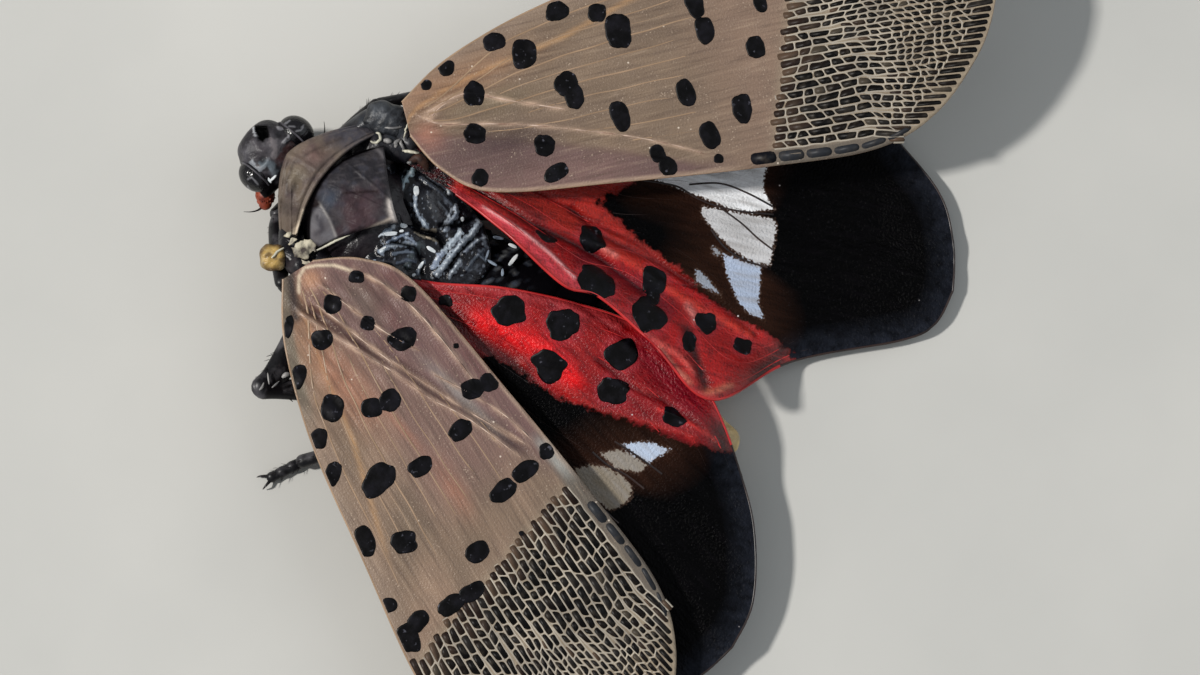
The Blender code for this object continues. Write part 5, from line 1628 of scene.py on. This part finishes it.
# Feelers: two short orange-red bulbs below the eyes, each studded with tiny pits and ending in a fine black
# bristle. The beak is a straight dark tube folded back between the front legs.
ANTENNA = [(1.03, -6.5, 1.35), (1.1, -6.42, 1.33), (1.24, -6.28, 1.3), (1.4, -6.14, 1.28)]
ANTENNA_RADII = [0.2, 0.33, 0.34, 0.24]
ROSTRUM = [(-0.15, -7.0, 0.6), (-0.05, -5.6, 0.42), (0.0, -3.2, 0.42)]
ROSTRUM_RADII = [0.34, 0.27, 0.25]

orange_bulb = mottled_finish("orange_bulb", 0.45, (146, 66, 42), (78, 28, 22), 2400.0, 0.00006, 0.4)
bristle_black = mottled_finish("bristle_black", 0.35, (22, 20, 22), (44, 40, 42), 2200.0)
for side_name, side in (("right", -1.0), ("left", 1.0)):
    knots = np.array([(NECK[0] + side * x, y, z) for x, y, z in ANTENNA])
    bulb, bulb_faces = tube_form(knots, ANTENNA_RADII, 24, 10)
    studs = []
    pick = np.random.default_rng(5)
    for _ in range(70):
        spot = bulb[pick.integers(5 * 24, len(bulb) - 5 * 24)]
        core = knots[np.argmin(np.linalg.norm(knots - spot, axis=1))]
        out = (spot - core) / np.linalg.norm(spot - core)
        studs.append((on_neck(np.array([spot - out * 0.02, spot + out * 0.012, spot + out * 0.03])),
                      np.array((0.035, 0.03, 0.012))))
    name = "antenna_" + side_name
    hang(shut_form(name, on_neck(bulb), bulb_faces, orange_bulb), "antenna", name)
    hang(tube_piece(name + "_studs", studs, orange_bulb, 6), "antenna", name)
    tip = knots[-1] + np.array((side * 0.2, 0, 0))
    bristle = np.array([tip + np.array((side * 0.55 * k, -0.35 * k * k, 0.25 * k)) for k in steps(9)])
    hang(tube_piece(name + "_bristle", [(on_neck(bristle), np.linspace(0.045, 0.008, 9))], bristle_black),
         "antenna", name)

beak_shell = mottled_finish("beak_shell", 0.35, (44, 34, 30), (84, 60, 42), 1200.0)
points, faces = tube_form(ROSTRUM, ROSTRUM_RADII, 20, 18)
points = bulge(points, (-0.07, 0.45), -0.04 * bell(np.mod(points[:, 1], 1.3) - 0.6, 0.06))
hang(shut_form("rostrum", points, faces, beak_shell), "dark_shell", "rostrum")


# Abdomen: overlapping half rings, black and waxy in front, then yellow with black bands, with a small cream
# tip. It lies on the ground on its belly, which is worn flat there.
ABDOMEN_STATIONS = [(-0.6, 0, 1.3, 1.7, 0), (-0.55, 0, 0.15, 2.35, 1.6), (0.1, 0, -0.1, 2.55, 1.95),
                    (2.2, 0, -0.12, 2.7, 2.35), (4.2, -0.05, -0.15, 2.68, 2.35), (6.2, -0.1, -0.15, 2.5, 2.2),
                    (8.2, -0.2, -0.12, 2.15, 1.8), (10.0, -0.28, 0.1, 1.7, 1.25),
                    (11.2, -0.32, 0.3, 1.3, 0.75), (12.2, -0.24, 0.5, 1.1, 0.48), (12.45, -0.22, 0.7, 0.9, 0)]
SEGMENT_REARS = [0.9, 2.4, 3.9, 5.4, 6.9, 8.3, 9.6, 10.7, 12.5]
ring_shell = shell_finish("ring_shell", 0.38, 1000.0, paint(120, 108, 70), 0.00006, 0.5, 0.35)
points, faces = hull_form(ABDOMEN_STATIONS, 2.2, 170, 80)
y = points[:, 1]
rear = np.array(SEGMENT_REARS)[np.minimum(np.searchsorted(SEGMENT_REARS, y), len(SEGMENT_REARS) - 1)]
step = 0.09 * bell(rear - y, 0.5) + 0.02 * ripple(y, points[:, 2] + points[:, 0], 0.9, 3)
inner = rising(-0.5, 0.2, y) * falling(11.6, 12.3, y)
points = bulge(points, (-0.15, 1.2), (step - 0.09) * inner)
points[:, 2] = np.maximum(points[:, 2], 0.0)
abdomen = shut_form("abdomen", points, faces, ring_shell)
x, y, z = corners_mm(abdomen).T
rear = np.array(SEGMENT_REARS)[np.minimum(np.searchsorted(SEGMENT_REARS, y), len(SEGMENT_REARS) - 1)]
base = layered(
    coat(len(x), paint(190, 152, 52)),
    (rising(0.35, 0.55, rear - y) * rising(0.9, 1.4, z + 0.25 * np.abs(x)), (26, 22, 22)),
    # The black front is partly the real black of the first rings and partly painted shadow between the
    # hindwings.
    (falling(5.5, 5.9, y), (16, 15, 18, 0.0)),
    (0.7 * falling(2.4, 3.4, y) * rising(0.4, 0.9, ripple(x, y, 0.45, 44)), (70, 78, 92)),
    (0.8 * falling(0.2, 0.8, z), (150, 120, 60)),
    (rising(11.1, 11.4, y), (214, 186, 132)))
give_colours(abdomen, "tint", base)
hang(abdomen, "abdomen", "abdomen")


# Tegulae: small shell scales over the front wing roots, amber on the left and dark on the right. Beside them
# lie pale curled rods, flat plates and a brown skin fold. A short dark stalk holds each forewing.
TEGULAE = {
    "right": ((-3.25, -4.25, 3.2), 0.62, 0.75, 0.4, 20, paint(50, 53, 58), paint(22, 23, 27), 0.42,
              paint(92, 96, 102)),
    "left": ((3.02, -5.0, 2.98), 0.5, 0.45, 0.27, 40, paint(178, 146, 84), paint(70, 50, 34), 0.36,
             paint(214, 196, 150)),
}
TEGULA_RINGS, TEGULA_SIDES = 41, 64
for side_name, ((x, y, z), long_half, short_half, tall, turn, pale, deep, gloss, fleck) in TEGULAE.items():
    round_x, round_y = spot_outline(0, 0, long_half, short_half, turn, 5, TEGULA_SIDES, 1.1)
    angle = np.linspace(0, np.pi, TEGULA_RINGS)
    points = np.stack([np.stack((x + round_x * math.sin(a), y + round_y * math.sin(a),
                                 z + tall * math.cos(a) + 0 * round_x), -1) for a in angle]).reshape(-1, 3)
    points[:, 2] += 0.035 * ripple(points[:, 0], points[:, 1], 0.45, 3)
    scale = shell_finish("tegula_shell_" + side_name, gloss, 1400.0, fleck, 0.00007, 0.5)
    tegula = shut_form("tegula_" + side_name, points, ring_faces(TEGULA_RINGS, TEGULA_SIDES), scale)
    skin_x, skin_y, _ = corners_mm(tegula).T
    away = np.hypot((skin_x - x) / long_half, (skin_y - y) / short_half)
    base = tinted(coat(len(skin_x), pale), 0.7 * rising(0.1, 0.9, ripple(skin_x, skin_y, 0.4, 71)), deep)
    give_colours(tegula, "tint", tinted(base, 0.8 * rising(0.6, 1.0, away), deep))
    hang(tegula, "tegula", "tegula_" + side_name)
# Each sclerite is a line through (x, y, z), its thickest radius and which finish it has
SCLERITES = [
    ([(-2.23, -4.29, 3.4), (-2.28, -4.09, 3.42), (-2.48, -4.03, 3.42), (-2.63, -4.17, 3.4),
      (-2.59, -4.28, 3.36)],
     0.055, "pale"),
    ([(-2.86, -4.71, 3.3), (-2.94, -4.53, 3.36), (-3.0, -4.33, 3.5)], 0.045, "grey"),
    ([(-2.53, -3.88, 3.38), (-2.58, -3.76, 3.42), (-2.64, -3.64, 3.4)], 0.1, "grey"),
    ([(-2.52, -3.42, 3.38), (-2.68, -3.47, 3.44), (-2.85, -3.45, 3.42)], 0.07, "grey"),
    ([(-2.83, -3.4, 3.4), (-2.72, -3.26, 3.42), (-2.6, -3.14, 3.38)], 0.06, "grey"),
    ([(-2.9, -4.1, 3.5), (-3.04, -3.84, 3.56), (-3.24, -3.61, 3.52)], 0.045, "grey"),
    ([(-2.94, -3.33, 3.5), (-3.23, -3.43, 3.6), (-3.54, -3.5, 3.62)], 0.035, "pale"),
    ([(-2.56, -3.14, 3.42), (-2.66, -2.9, 3.48), (-2.78, -2.62, 3.46)], 0.06, "pale"),
    ([(-2.3, -2.8, 3.24), (-2.36, -2.72, 3.26), (-2.42, -2.66, 3.24)], 0.06, "grey"),
    ([(2.1, -3.84, 3.42), (1.7, -3.58, 3.56), (1.37, -3.38, 3.64), (0.98, -3.1, 3.7)], 0.045, "pale"),
    ([(3.08, -4.99, 3.27), (2.85, -4.97, 3.27), (2.56, -4.86, 3.2)], 0.045, "pale"),
    ([(2.7, -4.62, 3.1), (2.74, -4.42, 3.16), (2.72, -4.2, 3.2)], 0.045, "grey"),
]
sclerite_finishes = {
    "pale": mottled_finish("pale_sclerite", 0.35, (206, 202, 182), (150, 148, 136), 2600.0, 0.00006, 0.4),
    "grey": mottled_finish("grey_sclerite", 0.4, (150, 148, 146), (92, 92, 94), 2600.0, 0.00006, 0.4),
}
for finish_name, finish in sclerite_finishes.items():
    lines = []
    for n, (path, radius, kind) in enumerate(SCLERITES):
        if kind == finish_name:
            line = spline(path, steps(16))
            line = line + 0.02 * ripple(*line.T[:2], 0.2, n)[:, None] * np.array((1, -1, 0.5))
            lines.append((line, radius * np.sin(np.linspace(0.3, 2.9, 16)) ** 0.6))
    hang(tube_piece(finish_name + "_sclerites", lines, finish, 10), "tegula", "tegula_right", "tegula_left")
# The flat plates at the left wing root, each an outline of (x, y) points
ROOT_PLATES = [
    [(2.46, -4.58), (2.15, -4.52), (1.9, -4.33), (1.84, -4.0), (2.08, -3.79), (2.22, -3.95), (2.44, -3.9),
     (2.6, -4.3)],
    [(2.25, -5.02), (2.1, -5.06), (1.96, -4.95), (2.02, -4.86), (2.2, -4.9)],
    [(2.42, -4.78), (2.2, -4.76), (2.06, -4.64), (2.2, -4.62), (2.36, -4.68)],
    [(2.6, -4.1), (2.5, -3.8), (2.56, -3.66), (2.7, -3.8), (2.72, -4.0)],
]


def on_root(x, y, lift=0.0):
    """The uneven ground of the plates, which slopes down towards the head."""
    z = 3.42 + 0.15 * np.minimum(y + 4.4, 0) + 0.03 * ripple(x, y, 0.45, 51)
    return np.stack((x, y, z + lift), -1)


root_plate = mottled_finish("root_plate", 0.5, (190, 182, 160), (66, 58, 54), 2200.0, 0.00008, 0.35, 0.42,
                            0.6)
outlines = []
for outline in ROOT_PLATES:
    x, y = spline(outline + outline[:1], steps(64)[:-1]).T
    outlines.append((x + 0.04 * ripple(x, y, 0.3, 52), y + 0.04 * ripple(x, y, 0.25, 53)))
hang(lens_piece("root_plates", outlines, on_root, 0.05, 0.02, root_plate), "tegula", "tegula_left")
fold_brown = mottled_finish("fold_brown", 0.6, (74, 50, 40), (40, 28, 26), 2200.0, 0.00006, 0.3)
points, faces = tube_form([(-2.45, -2.7, 3.2), (-2.65, -2.55, 3.3), (-2.62, -2.3, 3.26), (-2.5, -2.1, 3.15)],
                          (0.1, 0.17, 0.17, 0.08), 24, 10, 0.7)
hang(shut_form("root_fold", points, faces, fold_brown), "tegula", "tegula_right")
stalk_skin = mottled_finish("stalk_skin", 0.5, (50, 42, 42), (24, 20, 22), 1500.0, 0.00006, 0.35)
for side_name, wing in FOREWINGS.items():
    along, across = np.array((0.15, 0.45, 1.0)), np.array((-0.25, -0.32, -0.4))
    x, y = on_wing(wing, along, across)
    z = forewing_height(wing, along, across) - np.array((1.15, 0.55, 0.15))
    path = [(wing["side"] * 2.1, y[0], 2.7)] + list(zip(x, y, z))
    points, faces = tube_form(path, (0.3, 0.3, 0.26, 0.14), 24, 10)
    hang(shut_form("wing_stalk_" + side_name, points, faces, stalk_skin), "dark_shell", "thorax")


# Legs: black jointed tubes with spines on the shins, fine hairs, and two claws with a pad on each foot. Each
# leg is pinned into the thorax and rests on its foot.
LEGS = {
    "left": {
        "front": [(0.75, -5.6, 0.72), (1.35, -5.85, 0.85), (3.55, -4.3, 2.6), (4.4, -0.8, 0.48),
                  (4.3, 0.75, 0.22)],
        "middle": [(0.9, -3.5, 0.72), (2.0, -3.25, 0.8), (6.95, -2.95, 1.75), (5.6, -0.6, 0.48),
                   (5.3, 1.0, 0.22)],
        "hind": [(0.9, -1.9, 0.72), (1.8, -1.4, 0.8), (3.7, 3.6, 1.6), (8.3, -0.4, 0.48), (9.45, -1.1, 0.22)],
    },
    "right": {
        "front": [(-0.75, -5.6, 0.72), (-1.25, -5.5, 0.75), (-3.6, -4.85, 2.35), (-6.9, -2.0, 0.6),
                  (-7.8, -0.6, 0.22)],
        "middle": [(-0.9, -3.7, 0.72), (-1.9, -3.3, 0.8), (-5.7, -0.1, 1.6), (-8.6, 1.6, 0.48),
                   (-10.1, 2.2, 0.22)],
        "hind": [(-0.9, -1.9, 0.72), (-1.8, -1.3, 0.8), (-4.2, 3.2, 1.3), (-9.2, 5.2, 0.47),
                 (-10.8, 5.8, 0.22)],
    },
}
COXA_RADII = [0.27, 0.32, 0.26]
FEMUR_RADII = [0.2, 0.33, 0.36, 0.33, 0.27, 0.24]
TIBIA_RADII = [0.24, 0.21, 0.2, 0.22, 0.25]
TARSUS_RADII = [0.2, 0.22, 0.19, 0.21, 0.18, 0.2]
# How many times as broad as the others a leg is: the left middle one is folded flat on itself
LEG_BREADTH = {("left", "middle"): 1.65}
leg_shell = mottled_finish("leg_shell", 0.38, (20, 19, 22), (92, 90, 94), 1500.0, 0.00006, 0.35, 0.5, 0.78)


def build_leg(side_name, pair):
    root, hip, knee, ankle, toe = (np.array(joint) for joint in LEGS[side_name][pair])
    sole = np.array((ankle[0], ankle[1], toe[2] + 0.02))
    thigh = [hip + (knee - hip) * share for share in (0.03, 0.2, 0.45, 0.7, 0.9, 1.0)]
    shin = [knee + (ankle - knee) * share for share in (0.03, 0.2, 0.5, 0.85, 1.0)]
    foot = [sole + (toe - sole) * share for share in (0.12, 0.3, 0.42, 0.6, 0.72, 0.9)]
    breadth = LEG_BREADTH.get((side_name, pair), 1.0)
    if breadth > 1:
        thigh = [joint + np.array((0, 0.3 * math.sin(math.pi * k / 5), 0)) for k, joint in enumerate(thigh)]
    forms = [tube_form([root, (root + hip) / 2, hip], COXA_RADII, 18, 8),
             tube_form(thigh, [radius * breadth for radius in FEMUR_RADII], 22, 8, 0.9 / breadth ** 1.1),
             tube_form(shin, [radius * breadth ** 1.2 for radius in TIBIA_RADII], 18, 9, 1 / breadth),
             tube_form([ankle, (ankle + sole) / 2, sole], (0.24, 0.22, 0.2), 14, 4),
             tube_form(foot, TARSUS_RADII, 16, 7, 0.85)]
    points, faces = joined(forms)
    points[:, 2] = np.maximum(points[:, 2], 0.0)
    name = f"leg_{pair}_{side_name}"
    parts = [f"{name}_{part}" for part in ("coxa", "femur", "tibia", "tarsus")]
    hang(shut_form(name, points, faces, leg_shell), "leg", *parts)
    lines = []
    down = (ankle - knee) / np.linalg.norm(ankle - knee)
    out = np.cross(down, np.cross((hip - knee), down))
    out = -out / np.linalg.norm(out)
    across = np.cross(down, out)
    for share, size in ((0.3, 0.4), (0.48, 0.42), (0.66, 0.45), (0.84, 0.48)):
        base = knee + (ankle - knee) * share + out * 0.14
        lines.append((np.array([base, base + (out * 0.6 + down * 0.5) * size * 0.5,
                                base + (out * 0.7 + down * 0.8) * size]), np.array((0.085, 0.05, 0.012))))
    for lean in (-0.8, -0.3, 0.3, 0.8):
        base = ankle + across * lean * 0.22 - down * 0.05
        spike = np.array([base, base + (down + across * lean * 0.5) * 0.22])
        spike[:, 2] = np.maximum(spike[:, 2], 0.03)
        lines.append((spike, np.array((0.06, 0.015))))
    ahead = (toe - sole) / np.linalg.norm(toe - sole)
    aside = np.array((-ahead[1], ahead[0], 0.0))
    for lean in (-1, 1):
        base = toe + aside * lean * 0.1
        claw = [base, base + ahead * 0.22 + aside * lean * 0.1 + np.array((0, 0, 0.08)),
                base + ahead * 0.34 + aside * lean * 0.14 + np.array((0, 0, -0.06))]
        lines.append((spline(claw, steps(8)), np.linspace(0.07, 0.015, 8)))
    pick = np.random.default_rng(len(pair) + (3 if side_name == "left" else 0))
    for line, radius, number in (((hip, knee), 0.3, 46), ((knee, ankle), 0.2, 60), ((sole, toe), 0.22, 20)):
        along = (line[1] - line[0]) / np.linalg.norm(line[1] - line[0])
        first = np.cross(along, (0.1, 0.2, 0.97))
        first /= np.linalg.norm(first)
        second = np.cross(along, first)
        for _ in range(number):
            turn, share = pick.uniform(0, 2 * np.pi), pick.uniform(0.08, 0.95)
            away = first * math.cos(turn) + second * math.sin(turn)
            base = line[0] + (line[1] - line[0]) * share + away * radius * 0.85
            hair = np.array([base, base + (away * 0.7 + along * 0.8) * 0.2])
            hair[:, 2] = np.maximum(hair[:, 2], 0.02)
            lines.append((hair, np.array((0.014, 0.004))))
    hang(tube_piece(name + "_spines", lines, bristle_black, 5), "leg", parts[2])


for side_name in LEGS:
    for pair in LEGS[side_name]:
        build_leg(side_name, pair)
# Rubbed wax on the left middle knee: lines through (x, y, z) and their thickest radius
KNEE_WAX = [
    ([(6.45, -3.03, 2.06), (6.61, -2.9, 2.06), (6.77, -2.77, 2.06)], 0.035),
    ([(6.82, -2.63, 2.06), (6.66, -2.58, 2.06), (6.48, -2.53, 2.06)], 0.035),
    ([(6.33, -2.52, 2.06), (6.16, -2.45, 2.06), (6.06, -2.35, 2.06)], 0.09),
    ([(7.13, -2.96, 2.02), (6.99, -2.93, 2.02), (6.81, -2.96, 2.02)], 0.05),
]
lines = [(spline(path, steps(12)), radius * np.sin(np.linspace(0.3, 2.9, 12))) for path, radius in KNEE_WAX]
hang(tube_piece("knee_wax", lines, sclerite_finishes["grey"], 8), "leg", "leg_middle_left_femur")
